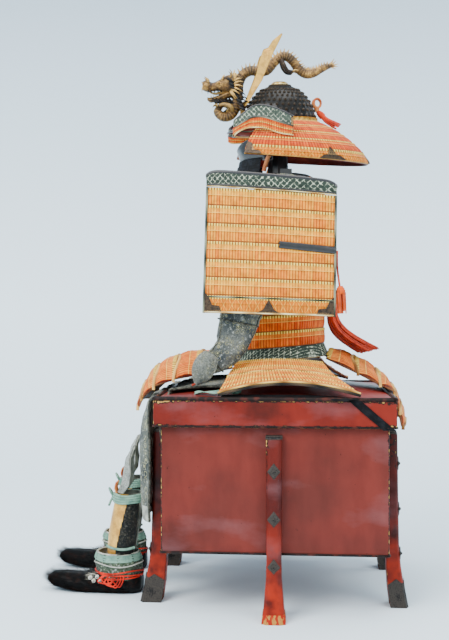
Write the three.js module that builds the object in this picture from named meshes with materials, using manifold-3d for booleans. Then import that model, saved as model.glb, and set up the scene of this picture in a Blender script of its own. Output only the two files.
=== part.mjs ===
// A samurai armour of orange-laced lames, seated on its six-legged lacquered chest.
// Millimetres, +Z up. The armour faces -Y and its left side is +X.
// The chest's middle stands at (0, CHEST_Y); everything else is measured from there.
import * as THREE from "three";
import Module from "manifold-3d";
import { mergeVertices } from "three/addons/utils/BufferGeometryUtils.js";

const wasm = await Module();
wasm.setup();

// Driving dimensions
const TOE_REACH = 640; // the right boot's toe, in front of the chest's middle
const BACK_REACH = 344; // the back tasset's lowest lame, behind the chest's middle
const CHEST_Y = (TOE_REACH - BACK_REACH) / 2; // puts the origin under the middle of the whole
const GAP = 0.35; // between pieces that touch
const CHEST = { halfX: 310, halfY: 278, bottom: 150, top: 520, board: 14 };
const LID = { overhang: 17, bottom: 461, edge: 530, crown: 34, board: 16 };
const LAME = { pitch: 42, wall: 4, step: 3.2 };
const BOWL = { y: 7, base: 1262, halfX: 92, halfY: 97, height: 103, wall: 4 };
const HELMET_ROLL = THREE.MathUtils.degToRad(6.5); // the helmet sits a little down on its left
const HELMET_YAW = THREE.MathUtils.degToRad(7); // and looks a little to its left

const LID_X = CHEST.halfX + LID.overhang;
const LID_Y = CHEST.halfY + LID.overhang;
const rad = THREE.MathUtils.degToRad;
const mix = THREE.MathUtils.lerp;
const vec = (x, y, z) => new THREE.Vector3(x, y, z);

// Small helpers: tables and grids

// Reads a table of rows at any value of its first column, straight between the rows.
function along(table, key, value) {
  const rows = table[0][key] < table[table.length - 1][key] ? table : [...table].reverse();
  if (value <= rows[0][key]) return { ...rows[0] };
  for (let i = 1; i < rows.length; i++) {
    if (value > rows[i][key]) continue;
    const share = (value - rows[i - 1][key]) / (rows[i][key] - rows[i - 1][key]);
    return Object.fromEntries(
      Object.keys(rows[i]).map((name) => [name, mix(rows[i - 1][name], rows[i][name], share)]),
    );
  }
  return { ...rows[rows.length - 1] };
}

// A run of evenly spaced values, both ends included.
const steps = (from, to, count) => Array.from({ length: count + 1 }, (_, i) => mix(from, to, i / count));

// A closed geometry from points and triangles, turned so that its faces point out.
function closed(points, faces) {
  let volume = 0;
  for (let i = 0; i < faces.length; i += 3) {
    const [a, b, c] = [points[faces[i]], points[faces[i + 1]], points[faces[i + 2]]];
    volume += a.dot(vec(0, 0, 0).crossVectors(b, c));
  }
  if (volume < 0) for (let i = 0; i < faces.length; i += 3) [faces[i], faces[i + 1]] = [faces[i + 1], faces[i]];
  const flat = points.flatMap((p) => [p.x, p.y, p.z]);
  return new THREE.BufferGeometry()
    .setAttribute("position", new THREE.Float32BufferAttribute(flat, 3))
    .setIndex(faces);
}

// The wall between two grids of points, with its edges. A grid that goes around closes on itself.
function wallBetween(outer, inner, around = false) {
  const rows = outer.length;
  const cols = outer[0].length;
  const faces = [];
  const o = (i, j) => i * cols + (j % cols);
  const n = (i, j) => rows * cols + i * cols + (j % cols);
  const quad = (a, b, c, d) => faces.push(a, b, c, a, c, d);
  const spans = around ? cols : cols - 1;
  const last = rows - 1;
  for (let j = 0; j < spans; j++) {
    for (let i = 0; i < last; i++) {
      quad(o(i, j), o(i + 1, j), o(i + 1, j + 1), o(i, j + 1));
      quad(n(i, j), n(i, j + 1), n(i + 1, j + 1), n(i + 1, j));
    }
    quad(o(0, j), o(0, j + 1), n(0, j + 1), n(0, j));
    quad(o(last, j + 1), o(last, j), n(last, j), n(last, j + 1));
  }
  for (let i = 0; i < last && !around; i++) {
    quad(o(i + 1, 0), o(i, 0), n(i, 0), n(i + 1, 0));
    quad(o(i, cols - 1), o(i + 1, cols - 1), n(i + 1, cols - 1), n(i, cols - 1));
  }
  return closed([...outer.flat(), ...inner.flat()], faces);
}

// A wall laid on the surface at(u, v), on the side away from a point. rows are { v, rise }.
function surfaceWall({ at, across, rows, wall, awayFrom, around = false }) {
  const e = 1e-3;
  const normal = (u, v) => {
    const du = at(u + e, v).sub(at(u - e, v));
    const dv = at(u, v + e).sub(at(u, v - e));
    return du.cross(dv).normalize();
  };
  const midU = (across[0] + across[across.length - 1]) / 2;
  const midV = (rows[0].v + rows[rows.length - 1].v) / 2;
  const sign = Math.sign(normal(midU, midV).dot(at(midU, midV).sub(awayFrom)));
  const lift = (u, { v, rise = 0 }) => at(u, v).addScaledVector(normal(u, v), sign * (wall + rise));
  const outer = rows.map((row) => across.map((u) => lift(u, row)));
  const inner = rows.map((row) => across.map((u) => at(u, row.v)));
  return wallBetween(outer, inner, around);
}

const plainRows = (count, from = 0, to = 1) => steps(from, to, count).map((v) => ({ v, rise: 0 }));

// Rows of a laced wall: each lame's head stands out over the lame above, and its foot lies back.
function lameRows(count, step = LAME.step, lip = 0.012) {
  return Array.from({ length: count }, (_, k) => [
    { v: (k + (k ? lip : 0)) / count, rise: step },
    { v: (k + 1) / count, rise: 0.4 },
  ]).flat().map((row, i) => (i % 2 && i < 2 * count - 1 ? { ...row, v: row.v - lip / count } : row));
}

// A solid through rings of equal numbers of points, closed by a fan at each end.
function loft(rings) {
  const cols = rings[0].length;
  const faces = [];
  const points = rings.flat();
  for (let i = 0; i < rings.length - 1; i++)
    for (let j = 0; j < cols; j++) {
      const [a, b] = [i * cols + j, i * cols + ((j + 1) % cols)];
      faces.push(a, a + cols, b + cols, a, b + cols, b);
    }
  for (const [first, turn] of [[0, false], [(rings.length - 1) * cols, true]]) {
    const centre = points.length;
    points.push(rings[turn ? rings.length - 1 : 0].reduce((s, p) => s.add(p), vec(0, 0, 0)).divideScalar(cols));
    for (let j = 0; j < cols; j++) {
      const [a, b] = [first + j, first + ((j + 1) % cols)];
      faces.push(...(turn ? [centre, b, a] : [centre, a, b]));
    }
  }
  return closed(points, faces);
}

// A ring of points: an oval round centre, with half axes along the directions p and q.
function oval(centre, p, q, sides, turn = 0) {
  return Array.from({ length: sides }, (_, k) => {
    const a = (2 * Math.PI * k) / sides + turn;
    return centre.clone().addScaledVector(p, Math.cos(a)).addScaledVector(q, Math.sin(a));
  });
}

// A tapered tube along points; rows give its centre and radius. side fixes the ring's first axis.
function taperedTube(rows, sides, side = vec(1, 0, 0)) {
  return loft(rows.map((row, i) => {
    const before = rows[Math.max(0, i - 1)].at;
    const after = rows[Math.min(rows.length - 1, i + 1)].at;
    const way = after.clone().sub(before).normalize();
    const q = way.clone().cross(side).normalize();
    const p = q.clone().cross(way).normalize();
    return oval(row.at, p.multiplyScalar(row.r), q.multiplyScalar(row.flat ?? row.r), sides);
  }));
}

// manifold-3d only joins and cuts
function toSolid(geometry) {
  const g = geometry.index ? geometry.toNonIndexed() : geometry.clone();
  const bare = new THREE.BufferGeometry().setAttribute("position", g.getAttribute("position"));
  const merged = mergeVertices(bare, 1e-3);
  const mesh = new wasm.Mesh({
    numProp: 3,
    vertProperties: merged.attributes.position.array,
    triVerts: new Uint32Array(merged.index.array),
  });
  return new wasm.Manifold(mesh);
}
function fromSolid(solid) {
  const mesh = solid.getMesh();
  return new THREE.BufferGeometry()
    .setAttribute("position", new THREE.BufferAttribute(new Float32Array(mesh.vertProperties), 3))
    .setIndex(new THREE.BufferAttribute(new Uint32Array(mesh.triVerts), 1));
}
const join = (...parts) => fromSolid(parts.map(toSolid).reduce((a, b) => a.add(b)));
const cut = (whole, ...parts) => fromSolid(parts.map(toSolid).reduce((a, b) => a.subtract(b), toSolid(whole)));
function block(x0, x1, y0, y1, z0, z1) {
  return new THREE.BoxGeometry(x1 - x0, y1 - y0, z1 - z0).translate((x0 + x1) / 2, (y0 + y1) / 2, (z0 + z1) / 2);
}

// Materials
const finish = (color, roughness, metalness = 0) => new THREE.MeshStandardMaterial({ color, roughness, metalness });
const redLacquer = finish("#a23b30", 0.45);
const blackLacquer = finish("#26231f", 0.35);
const orangeLacing = finish("#e8894e", 0.8);
const printedLeather = finish("#5d665c", 0.7);
const blackIron = finish("#2b2a2c", 0.4, 0.6);
const giltPlate = finish("#d9ae63", 0.35, 0.8);
const giltCarving = finish("#8f6a3c", 0.5, 0.5);
const greyBrocade = finish("#7c8188", 0.9);
const redSilk = finish("#c4472d", 0.7);
const blackFur = finish("#161513", 0.95);
const blackCotton = finish("#1d1d1f", 0.9);

const seat = new THREE.Group();
seat.position.y = CHEST_Y;
const helmet = new THREE.Group();
helmet.position.set(0, BOWL.y, BOWL.base);
helmet.rotation.set(0, HELMET_ROLL, HELMET_YAW);
seat.add(helmet);

function piece(name, geometry, material, parent = seat) {
  const mesh = new THREE.Mesh(geometry, material);
  mesh.name = name;
  parent.add(mesh);
  return mesh;
}

// Chest: an open box, a domed cap-over lid and six splayed legs nailed to its sides.

const lidTop = (x, y) => LID.edge + LID.crown * (1 - (x / LID_X) ** 2) * (1 - (y / LID_Y) ** 2);

function chestBody() {
  const { halfX, halfY, bottom, top, board } = CHEST;
  const outside = block(-halfX, halfX, -halfY, halfY, bottom, top);
  return cut(outside, block(board - halfX, halfX - board, board - halfY, halfY - board, bottom + board, top + board));
}

function chestLid() {
  const spans = 6;
  const shell = (halfX, halfY, drop, bottom) => {
    const grid = (height) => steps(-halfY, halfY, spans).map((y) =>
      steps(-halfX, halfX, spans).map((x) => vec(x, y, height(x, y))));
    return wallBetween(grid((x, y) => lidTop(x, y) - drop), grid(() => bottom));
  };
  const hollow = shell(LID_X - LID.board, LID_Y - LID.board, LID.edge - CHEST.top - GAP, LID.bottom - 1);
  return cut(shell(LID_X, LID_Y, 0, LID.bottom), hollow);
}

// One leg, standing off a wall: reach is how far its face lies from the boards, back how far its back does.
const LEG_PROFILE = [
  { z: 441, half: 18.5, back: 0.5, reach: 30 },
  { z: 432, half: 19.5, back: 0.5, reach: 35 },
  { z: 300, half: 18.5, back: 0.5, reach: 37 },
  { z: 150, half: 18, back: 0.5, reach: 40 },
  { z: 100, half: 19, back: 1.5, reach: 45 },
  { z: 45, half: 23.5, back: 6, reach: 55 },
  { z: 0, half: 28, back: 13, reach: 65 },
];
const CORNER_LEG_X = 185;

function chestLeg(standing) {
  const rings = LEG_PROFILE.map(({ z, half, back, reach }) => [
    [-half, back], [half, back], [half, reach - 7], [half * 0.55, reach], [-half * 0.55, reach], [-half, reach - 7],
  ].map(([side, out]) => standing(side, out, z)));
  return loft(rings);
}

piece("chest_body", chestBody(), redLacquer);
piece("chest_lid", chestLid(), redLacquer);
for (const [end, sign, splay] of [["front", -1, 1.04], ["back", 1, 0.86]])
  for (const [hand, x] of [["left", CORNER_LEG_X], ["right", -CORNER_LEG_X]])
    piece(`chest_leg_${end}_${hand}`, chestLeg((s, out, z) => vec(x + s, sign * (CHEST.halfY + splay * out), z)), redLacquer);
for (const [hand, sign] of [["left", 1], ["right", -1]])
  piece(`chest_leg_side_${hand}`, chestLeg((s, out, z) => vec(sign * (CHEST.halfX + out), s, z)), redLacquer);

// Stand inside the armour: a foot board on the lid, a post, a shoulder bar and a padded cap for the helmet.

const STAND = { board: 85, boardThick: 18, post: 24, barX: 215.2, barY: [12, 42], barTop: 1105, barDeep: 26 };
const CAP_FROM = 1302; // the helmet rests on the cap from here up

function ellipsoid(clearance, fromZ, around = 16, rings = 4) {
  const [a, b, c] = [BOWL.halfX, BOWL.halfY, BOWL.height].map((r) => r - BOWL.wall - clearance);
  const low = Math.asin((fromZ - BOWL.base) / c);
  const rows = steps(low, Math.PI / 2 - 0.08, rings).map((t) =>
    oval(vec(0, 0, c * Math.sin(t)), vec(a * Math.cos(t), 0, 0), vec(0, b * Math.cos(t), 0), around));
  return loft(rows);
}

function armourStand() {
  const foot = lidTop(0, 0) + GAP;
  const { board, boardThick, post, barX, barY, barTop, barDeep } = STAND;
  const cap = ellipsoid(1.8, CAP_FROM)
    .rotateZ(HELMET_YAW)
    .rotateY(HELMET_ROLL)
    .translate(0, BOWL.y, BOWL.base);
  const neck = taperedTube([
    { at: vec(0, 2, 1090), r: post + 6 },
    { at: vec(0, 2, 1180), r: post + 2 },
    { at: vec(0, BOWL.y, CAP_FROM + 12), r: post + 6 },
  ], 12);
  return join(
    block(-board, board, -board, board, foot, foot + boardThick),
    block(-post, post, -post, post, foot + boardThick / 2, 1100),
    block(-barX, barX, barY[0], barY[1], barTop - barDeep, barTop),
    neck,
    cap,
  );
}
piece("armour_stand", armourStand(), blackLacquer);

// Cuirass: five waist lames all round, chest lames in front and behind, as four laced panels.

const TORSO = [
  { z: 630, a: 151, b: 117 }, { z: 700, a: 150, b: 114 }, { z: 770, a: 156, b: 118 }, { z: 850, a: 166, b: 124 },
  { z: 930, a: 172, b: 127 }, { z: 1010, a: 170, b: 124 }, { z: 1080, a: 160, b: 113 },
];
const TORSO_Y = 8;
const TORSO_SQUARE = 2.4; // the plan is between an oval and a rounded box
const WAIST = 650;
const WAIST_TILT = 0.09; // the waist lames rise to the back
const power = (value, exponent) => Math.sign(value) * Math.abs(value) ** exponent;

// The cuirass's inner face. angle 0 is the armour's left side, 90 its back.
function torso(angle, z) {
  const { a, b } = along(TORSO, "z", z);
  const x = a * power(Math.cos(rad(angle)), 2 / TORSO_SQUARE);
  const y = b * power(Math.sin(rad(angle)), 2 / TORSO_SQUARE);
  const settled = Math.min(1, Math.max(0, (z - WAIST) / 300));
  return vec(x, TORSO_Y + y, z + WAIST_TILT * y * (1 - settled));
}

function cuirassPanel(from, to, lames, spans) {
  const top = WAIST + lames * LAME.pitch;
  return surfaceWall({
    at: (u, v) => torso(u, mix(top, WAIST, v)),
    across: steps(from, to, spans),
    rows: lameRows(lames),
    wall: LAME.wall,
    awayFrom: vec(0, TORSO_Y, top),
  });
}
const SEAM = 0.1; // degrees, half of the space between two panels
const PANELS = [
  { name: "cuirass_left", from: -40, to: 40, lames: 5, spans: 5 },
  { name: "cuirass_back", from: 40, to: 140, lames: 10, spans: 6 },
  { name: "cuirass_right", from: 140, to: 220, lames: 5, spans: 5 },
  { name: "cuirass_front", from: 220, to: 320, lames: 8, spans: 6 },
];
for (const { name, from, to, lames, spans } of PANELS)
  piece(name, cuirassPanel(from + SEAM, to - SEAM, lames, spans), orangeLacing);

const FRONT_TOP = WAIST + 8 * LAME.pitch;
const BACK_TOP = WAIST + 10 * LAME.pitch;
const BREAST_PLATE_HIGH = 42;
piece("breast_plate", surfaceWall({
  at: (u, v) => torso(u, FRONT_TOP + GAP + BREAST_PLATE_HIGH * (1 - v) * (1 - 0.25 * Math.cos(rad(u - 270) * 3) ** 2)),
  across: steps(232, 308, 10),
  rows: plainRows(2),
  wall: 4.5,
  awayFrom: vec(0, TORSO_Y, FRONT_TOP),
}), printedLeather);

// Shoulder straps: stiff leather bands from the back's top edge, over the bar, down outside the breast plate.
const STRAP_LINE = [
  { s: 0, y: 113.6, z: BACK_TOP + 1.6 }, { s: 1, y: 100, z: 1090 }, { s: 2, y: 78, z: 1101 },
  { s: 3, y: 50, z: STAND.barTop + GAP }, { s: 4, y: 5, z: STAND.barTop + GAP }, { s: 5, y: -45, z: 1093 },
  { s: 6, y: -90, z: 1068 }, { s: 7, y: -114, z: 1042 }, { s: 8, y: -121, z: 1021 }, { s: 9, y: -122.5, z: 1000 },
];
const STRAP = { inner: 58, outer: 100, wall: 6 };
// Two cords on each strap reach out to the inside of the shoulder guard, which hangs by them.
const GUARD_CORDS = [{ y: -50, fromZ: 1094, toX: 286.2 }, { y: 88, fromZ: 1098, toX: 280.2 }];
const guardCords = (side) => GUARD_CORDS.map(({ y, fromZ, toX }) =>
  taperedTube([{ at: vec(side * 95, y, fromZ), r: 4 }, { at: vec(side * toX, y, 1062), r: 4 }], 5, vec(0, 1, 0)));
for (const [hand, side] of [["left", 1], ["right", -1]])
  piece(`shoulder_strap_${hand}`, join(...guardCords(side), surfaceWall({
    at: (u, v) => {
      const { y, z } = along(STRAP_LINE, "s", v * 9);
      return vec(side * u, y, z);
    },
    across: steps(STRAP.inner, STRAP.outer, 2),
    rows: plainRows(9),
    wall: STRAP.wall,
    awayFrom: vec(side * 80, 0, 1000),
  })), printedLeather);

// Hip leather: the flared printed-leather band that the tassets hang from.
const HIP = { drop: 30, flareX: 32, flareY: 12 };
const hipTop = (angle) => torso(angle, WAIST).add(vec(0, 0, -2.6));
function hip(angle, v) {
  const [across, along] = [Math.cos(rad(angle)), Math.sin(rad(angle))];
  return hipTop(angle).add(vec(across * (1 + HIP.flareX * v), along * (1 + HIP.flareY * v), -HIP.drop * v));
}
piece("hip_leather", surfaceWall({
  at: (u, v) => hip(u, v),
  across: steps(0, 360, 28).slice(0, -1),
  rows: plainRows(1),
  wall: 3,
  awayFrom: vec(0, TORSO_Y, WAIST - 20),
  around: true,
}), printedLeather);

// Tassets: four laced skirts. Each runs along its own line, arches across and droops at its sides.
const SKIRT_LAMES = 5;
const SKIRT_WALL = 4;

const SIDE_LINE = [
  { s: 0, x: 186, y: 10, z: 618, half: 108, droop: 8 }, { s: 0.25, x: 232, y: 13, z: 596, half: 128, droop: 12 },
  { s: 0.6, x: 285, y: 24, z: 577, half: 148, droop: 15 }, { s: 1, x: 341, y: 36, z: 558, half: 172, droop: 19 },
];
for (const [hand, side] of [["left", 1], ["right", -1]])
  piece(`tasset_${hand}`, surfaceWall({
    at: (u, v) => {
      const { x, y, z, half, droop } = along(SIDE_LINE, "s", v);
      return vec(side * (x - 14 * u * u), y + half * u, z - droop * u * u);
    },
    across: steps(-1, 1, 8),
    rows: lameRows(SKIRT_LAMES),
    wall: SKIRT_WALL,
    awayFrom: vec(side * 230, 14, 400),
  }), orangeLacing);

// Front and back tassets lie over the lid and hang past its edge. y is measured outwards from the chest's middle.
const FRONT_LINE = [
  { s: 0, out: 125.6, z: 610, half: 98, droop: 20, tuck: 12 }, { s: 0.2, out: 204, z: 631, half: 112, droop: 58, tuck: 0 },
  { s: 0.4, out: 270, z: 618, half: 118, droop: 56, tuck: 4 }, { s: 0.6, out: 324, z: 593, half: 124, droop: 50, tuck: 6 },
  { s: 0.8, out: 356, z: 548, half: 130, droop: 32, tuck: 8 }, { s: 1, out: 369, z: 500, half: 134, droop: 12, tuck: 10 },
];
const BACK_LINE = [
  { s: 0, out: 140.2, z: 637, half: 98, droop: 20, tuck: 12 }, { s: 0.2, out: 206, z: 617, half: 112, droop: 36, tuck: 0 },
  { s: 0.4, out: 266, z: 583, half: 118, droop: 32, tuck: 0 }, { s: 0.6, out: 304, z: 544, half: 124, droop: 9, tuck: 3 },
  { s: 0.8, out: 325, z: 502, half: 130, droop: 16, tuck: 12 }, { s: 1, out: BACK_REACH - 4.2, z: 452, half: 134, droop: 8, tuck: 18 },
];
for (const [end, way, line] of [["front", -1, FRONT_LINE], ["back", 1, BACK_LINE]])
  piece(`tasset_${end}`, surfaceWall({
    at: (u, v) => {
      const { out, z, half, droop, tuck } = along(line, "s", v);
      return vec(half * u, way * (out - tuck * u * u), z - droop * Math.abs(u) ** 2.2);
    },
    across: steps(-1, 1, 8),
    rows: lameRows(SKIRT_LAMES),
    wall: SKIRT_WALL,
    awayFrom: vec(0, way * 200, 420),
  }), orangeLacing);

// Shoulder guards: seven laced lames under a leather-covered cap plate, hung edge-on to the shoulder.
const GUARD = { top: 1040, bottom: 735, front: -168, back: 152, x: 270, bulge: 14, lean: 12, lames: 7 };
const GUARD_CAP_HIGH = 37;

// A point on a shoulder guard's inner face: u runs front to back, v down. It falls to the back, most at its top.
function guard(side, u, v) {
  const bow = GUARD.bulge * (1 - (2 * u - 1) ** 2);
  const slope = mix(25, 10, v) * (u - 0.5);
  const y = mix(GUARD.front - 8 * v, GUARD.back - 4 * v, u);
  return vec(side * (GUARD.x + bow + GUARD.lean * v), y, mix(GUARD.top, GUARD.bottom, v) - slope);
}
const CAP_PLATE = [{ v: 0, out: 2 }, { v: 0.3, out: 5 }, { v: 0.7, out: 4 }, { v: 1, out: 3 }];
for (const [hand, side] of [["left", 1], ["right", -1]]) {
  piece(`shoulder_guard_${hand}`, surfaceWall({
    at: (u, v) => guard(side, u, v),
    across: steps(0, 1, 6),
    rows: lameRows(GUARD.lames),
    wall: LAME.wall + 1,
    awayFrom: vec(0, 0, 900),
  }), orangeLacing);
  piece(`guard_cap_${hand}`, surfaceWall({
    at: (u, v) => {
      const { out } = along(CAP_PLATE, "v", v);
      const corner = 12 * Math.abs(2 * u - 1) ** 14;
      const rise = 1.5 + (1 - v) * (GUARD_CAP_HIGH - corner - 6 * (u - 0.5));
      return guard(side, u, 0).add(vec(side * out, 0, rise));
    },
    across: steps(0, 1, 10),
    rows: CAP_PLATE.map(({ v }) => ({ v, rise: 0 })),
    wall: 6,
    awayFrom: vec(0, 0, 900),
  }), printedLeather);
}

// Helmet. These pieces are measured from the middle of the bowl's base, in the helmet's own tilted frame.

// The bowl is raised from plates set with rows of studs; the studs are every other point of its outer face.
const STUDS = { around: 22, rows: 5, high: 3.4 };
function bowl() {
  const cols = STUDS.around * 2;
  const rows = STUDS.rows * 2 + 1;
  const rings = steps(0, Math.PI / 2 - 0.1, rows).map((t, i) => {
    const ring = Array.from({ length: cols }, (_, j) => {
      const a = (2 * Math.PI * j) / cols;
      const stud = i % 2 && j % 2 && i < rows - 1 ? STUDS.high : 0;
      const [hx, hy, hz] = [BOWL.halfX + stud, BOWL.halfY + stud, BOWL.height + stud];
      return vec(hx * Math.cos(t) * Math.cos(a), hy * Math.cos(t) * Math.sin(a), hz * Math.sin(t));
    });
    return ring;
  });
  const inside = [BOWL.halfX, BOWL.halfY, BOWL.height].map((r) => r - BOWL.wall);
  const hollow = loft(steps(-0.2, Math.PI / 2 - 0.1, 6).map((t) =>
    oval(vec(0, 0, inside[2] * Math.sin(t)), vec(inside[0] * Math.cos(Math.max(t, 0)), 0, 0),
      vec(0, inside[1] * Math.cos(Math.max(t, 0)), 0), 24)));
  return cut(loft(rings), hollow);
}
piece("helmet_bowl", bowl(), blackIron, helmet);

const BAND = { low: -7, high: 11, wall: 2.6 };
function bandRing(extra, z) {
  return oval(vec(0, 0, z), vec(BOWL.halfX + extra, 0, 0), vec(0, BOWL.halfY + extra, 0), 28);
}
piece("bowl_band", wallBetween(
  [bandRing(STUDS.high + GAP + BAND.wall, BAND.high), bandRing(STUDS.high + GAP + BAND.wall, BAND.low)],
  [bandRing(STUDS.high + GAP, BAND.high), bandRing(STUDS.high + GAP, BAND.low)],
  true,
), giltPlate, helmet);

// The gilt ring round the crown's opening follows the bowl's top.
const CROWN = { inner: 11, outer: 24, high: 8 };
const crownSeat = (r) => BOWL.height * (Math.sqrt(1 - (r / BOWL.halfY) ** 2)) + GAP;
piece("crown_ring", new THREE.LatheGeometry([
  [CROWN.inner, crownSeat(CROWN.inner)], [CROWN.outer, crownSeat(CROWN.inner)], [CROWN.outer - 3, BOWL.height + 3.5],
  [CROWN.inner + 3, BOWL.height + CROWN.high], [CROWN.inner, BOWL.height + CROWN.high - 1], [CROWN.inner, crownSeat(CROWN.inner)],
].map(([r, z]) => new THREE.Vector2(r, z)), 20).rotateX(Math.PI / 2), giltPlate, helmet);

const BROW = STUDS.high + BAND.wall + 2 * GAP + 0.4; // just outside the band
function brow(angle, out, z) {
  const [a, b] = [BOWL.halfX + BROW + out, BOWL.halfY + BROW + out];
  return vec(a * Math.sin(rad(angle)), -b * Math.cos(rad(angle)), z);
}
const VISOR = { half: 60, reach: 40, drop: 24, tip: 0.3 };
piece("visor", surfaceWall({
  at: (u, v) => {
    const share = 1 - (1 - VISOR.tip) * Math.abs(u / VISOR.half) ** 2;
    return brow(u, VISOR.reach * v * share, -4 - VISOR.drop * v * share);
  },
  across: steps(-VISOR.half, VISOR.half, 12),
  rows: plainRows(2),
  wall: 3,
  awayFrom: vec(0, -100, -200),
}), printedLeather, helmet);

// Neck guard: five lames, flat above and steep at the rim like an umbrella.
const NECK_LINE = [
  { s: 0, out: 0, z: -4 }, { s: 0.2, out: 34, z: -20 }, { s: 0.4, out: 66, z: -40 }, { s: 0.6, out: 95, z: -63 },
  { s: 0.8, out: 120, z: -89 }, { s: 1, out: 135, z: -118 },
];
const NECK = { ends: 117, sideShare: 0.66, frontLift: 36 };
function neck(angle, v) {
  const { out, z } = along(NECK_LINE, "s", v);
  const a = BOWL.halfX + BROW + out * NECK.sideShare;
  const b = BOWL.halfY + BROW + out;
  const forward = (1 - Math.cos(rad(angle))) / 2;
  return vec(a * Math.sin(rad(angle)), b * Math.cos(rad(angle)), z + NECK.frontLift * forward * v);
}
piece("neck_guard", surfaceWall({
  at: (u, v) => neck(u, v),
  across: steps(-NECK.ends, NECK.ends, 18),
  rows: lameRows(5),
  wall: LAME.wall - 0.5,
  awayFrom: vec(0, 0, -400),
}), orangeLacing, helmet);

// Turned-back wings: each is the neck guard's upper lames bent out and back beside the face.
const WING_LINE = [
  { s: 0, x: 115, y: -66, low: -44, high: -8 }, { s: 0.1, x: 118, y: -98, low: -46, high: -14 },
  { s: 0.2, x: 126, y: -122, low: -46, high: -10 }, { s: 0.3, x: 137, y: -132, low: -42, high: -5 },
  { s: 0.4, x: 146, y: -123, low: -33, high: 4 }, { s: 0.52, x: 150, y: -102, low: -24, high: 20 },
  { s: 0.62, x: 152, y: -84, low: -22, high: 32 }, { s: 0.74, x: 156, y: -56, low: -24, high: 34 },
  { s: 0.87, x: 164, y: -18, low: -37, high: 22 }, { s: 1, x: 169, y: 18, low: -43, high: 4 },
];
for (const [hand, side] of [["left", 1], ["right", -1]])
  piece(`turnback_${hand}`, surfaceWall({
    at: (u, v) => {
      const { x, y, low, high } = along(WING_LINE, "s", u);
      return vec(side * (x - 5 * v), y, mix(low, high, v));
    },
    across: steps(0, 1, 14),
    rows: [{ v: 0, rise: 1.5 }, { v: 0.42, rise: 0 }, { v: 0.46, rise: 2.5 }, { v: 1, rise: 0 }],
    wall: 3.5,
    awayFrom: vec(side * 120, 0, -20),
  }), printedLeather, helmet);

// Crest: a gilt bracket on the brow with two leaf-shaped horns.
const HORN_LINE = [
  { s: 0, x: 16, frontY: -106, frontZ: 20, backY: -100, backZ: 28 }, { s: 0.12, x: 22, frontY: -96, frontZ: 56, backY: -90, backZ: 50 },
  { s: 0.26, x: 30, frontY: -82, frontZ: 90, backY: -75, backZ: 74 }, { s: 0.45, x: 41, frontY: -67, frontZ: 127, backY: -52, backZ: 110 },
  { s: 0.62, x: 51, frontY: -58, frontZ: 165, backY: -40, backZ: 141 }, { s: 0.72, x: 58, frontY: -50, frontZ: 189, backY: -29, backZ: 166 },
  { s: 0.76, x: 61, frontY: -37, frontZ: 193, backY: -23, backZ: 180 }, { s: 0.87, x: 71, frontY: -26, frontZ: 210, backY: -12, backZ: 201 },
  { s: 1, x: 84, frontY: -3.5, frontZ: 226, backY: -1, backZ: 224 },
];
const HORN_THICK = 2.2;
const BRACKET = { half: 19, low: 3, high: 40, thick: 5 }; // half is in degrees round the brow
function horn(side) {
  return surfaceWall({
    at: (u, v) => {
      const { x, frontY, frontZ, backY, backZ } = along(HORN_LINE, "s", v);
      return vec(side * (x + 7 * u), mix(frontY, backY, u), mix(frontZ, backZ, u));
    },
    across: [0, 0.5, 1],
    rows: HORN_LINE.map(({ s }) => ({ v: s, rise: 0 })),
    wall: HORN_THICK,
    awayFrom: vec(0, 0, 100),
  });
}
function crest() {
  const bracket = surfaceWall({
    at: (u, v) => brow(u, 0, mix(BRACKET.high - 0.5 * Math.abs(u), BRACKET.low, v)),
    across: steps(-BRACKET.half, BRACKET.half, 6),
    rows: plainRows(1),
    wall: BRACKET.thick,
    awayFrom: vec(0, 0, 20),
  });
  return join(bracket, horn(1), horn(-1));
}
piece("crest_horns", crest(), giltPlate, helmet);

// Dragon: a carved and gilded body that coils at the brow and flies back over the bowl.
const DRAGON_LINE = [
  { y: -160, z: 48, r: 6 }, { y: -171, z: 33, r: 11 }, { y: -159, z: 19, r: 13 }, { y: -140, z: 19, r: 13 },
  { y: -125, z: 34, r: 13 }, { y: -119, z: 57, r: 13 }, { y: -114, z: 82, r: 13.5 }, { y: -112, z: 107, r: 13.5 },
  { y: -101, z: 130, r: 13.5 }, { y: -80, z: 141, r: 13.5 }, { y: -59, z: 139, r: 13 }, { y: -36, z: 141, r: 12.5 },
  { y: -18, z: 160, r: 12.5 }, { y: -1, z: 176, r: 12 }, { y: 18, z: 179, r: 12.5 }, { y: 36, z: 166, r: 12.5 },
  { y: 53, z: 144, r: 12.5 }, { y: 72, z: 132, r: 12 }, { y: 92, z: 134, r: 11.5 }, { y: 112, z: 144, r: 10 },
  { y: 131, z: 152, r: 8 }, { y: 149, z: 153, r: 2.5 },
];
const FIN = 7;
function dragonBody() {
  const curve = new THREE.CatmullRomCurve3(DRAGON_LINE.map(({ y, z }) => vec(0, y, z)));
  const count = 32;
  return loft(steps(0, 1, count).map((t, i) => {
    const centre = curve.getPoint(t);
    const way = curve.getTangent(t);
    const up = vec(0, -way.z, way.y);
    const { r } = along(DRAGON_LINE.map((row, k) => ({ s: k / (DRAGON_LINE.length - 1), r: row.r })), "s", t);
    const ring = oval(centre, vec(r, 0, 0), up.clone().multiplyScalar(r), 8);
    if (i % 2 && i > 4) ring[2].addScaledVector(up, FIN * (r / 12));
    return ring;
  }));
}
const HEAD_SECTIONS = [
  { y: -112, z: 105, half: 14, high: 15 }, { y: -127, z: 103, half: 24, high: 22 }, { y: -148, z: 101, half: 24, high: 19 },
  { y: -169, z: 99, half: 18, high: 13 }, { y: -188, z: 94, half: 13, high: 10 }, { y: -204, z: 95, half: 15, high: 12 },
  { y: -216, z: 93, half: 9, high: 8 },
];
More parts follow.
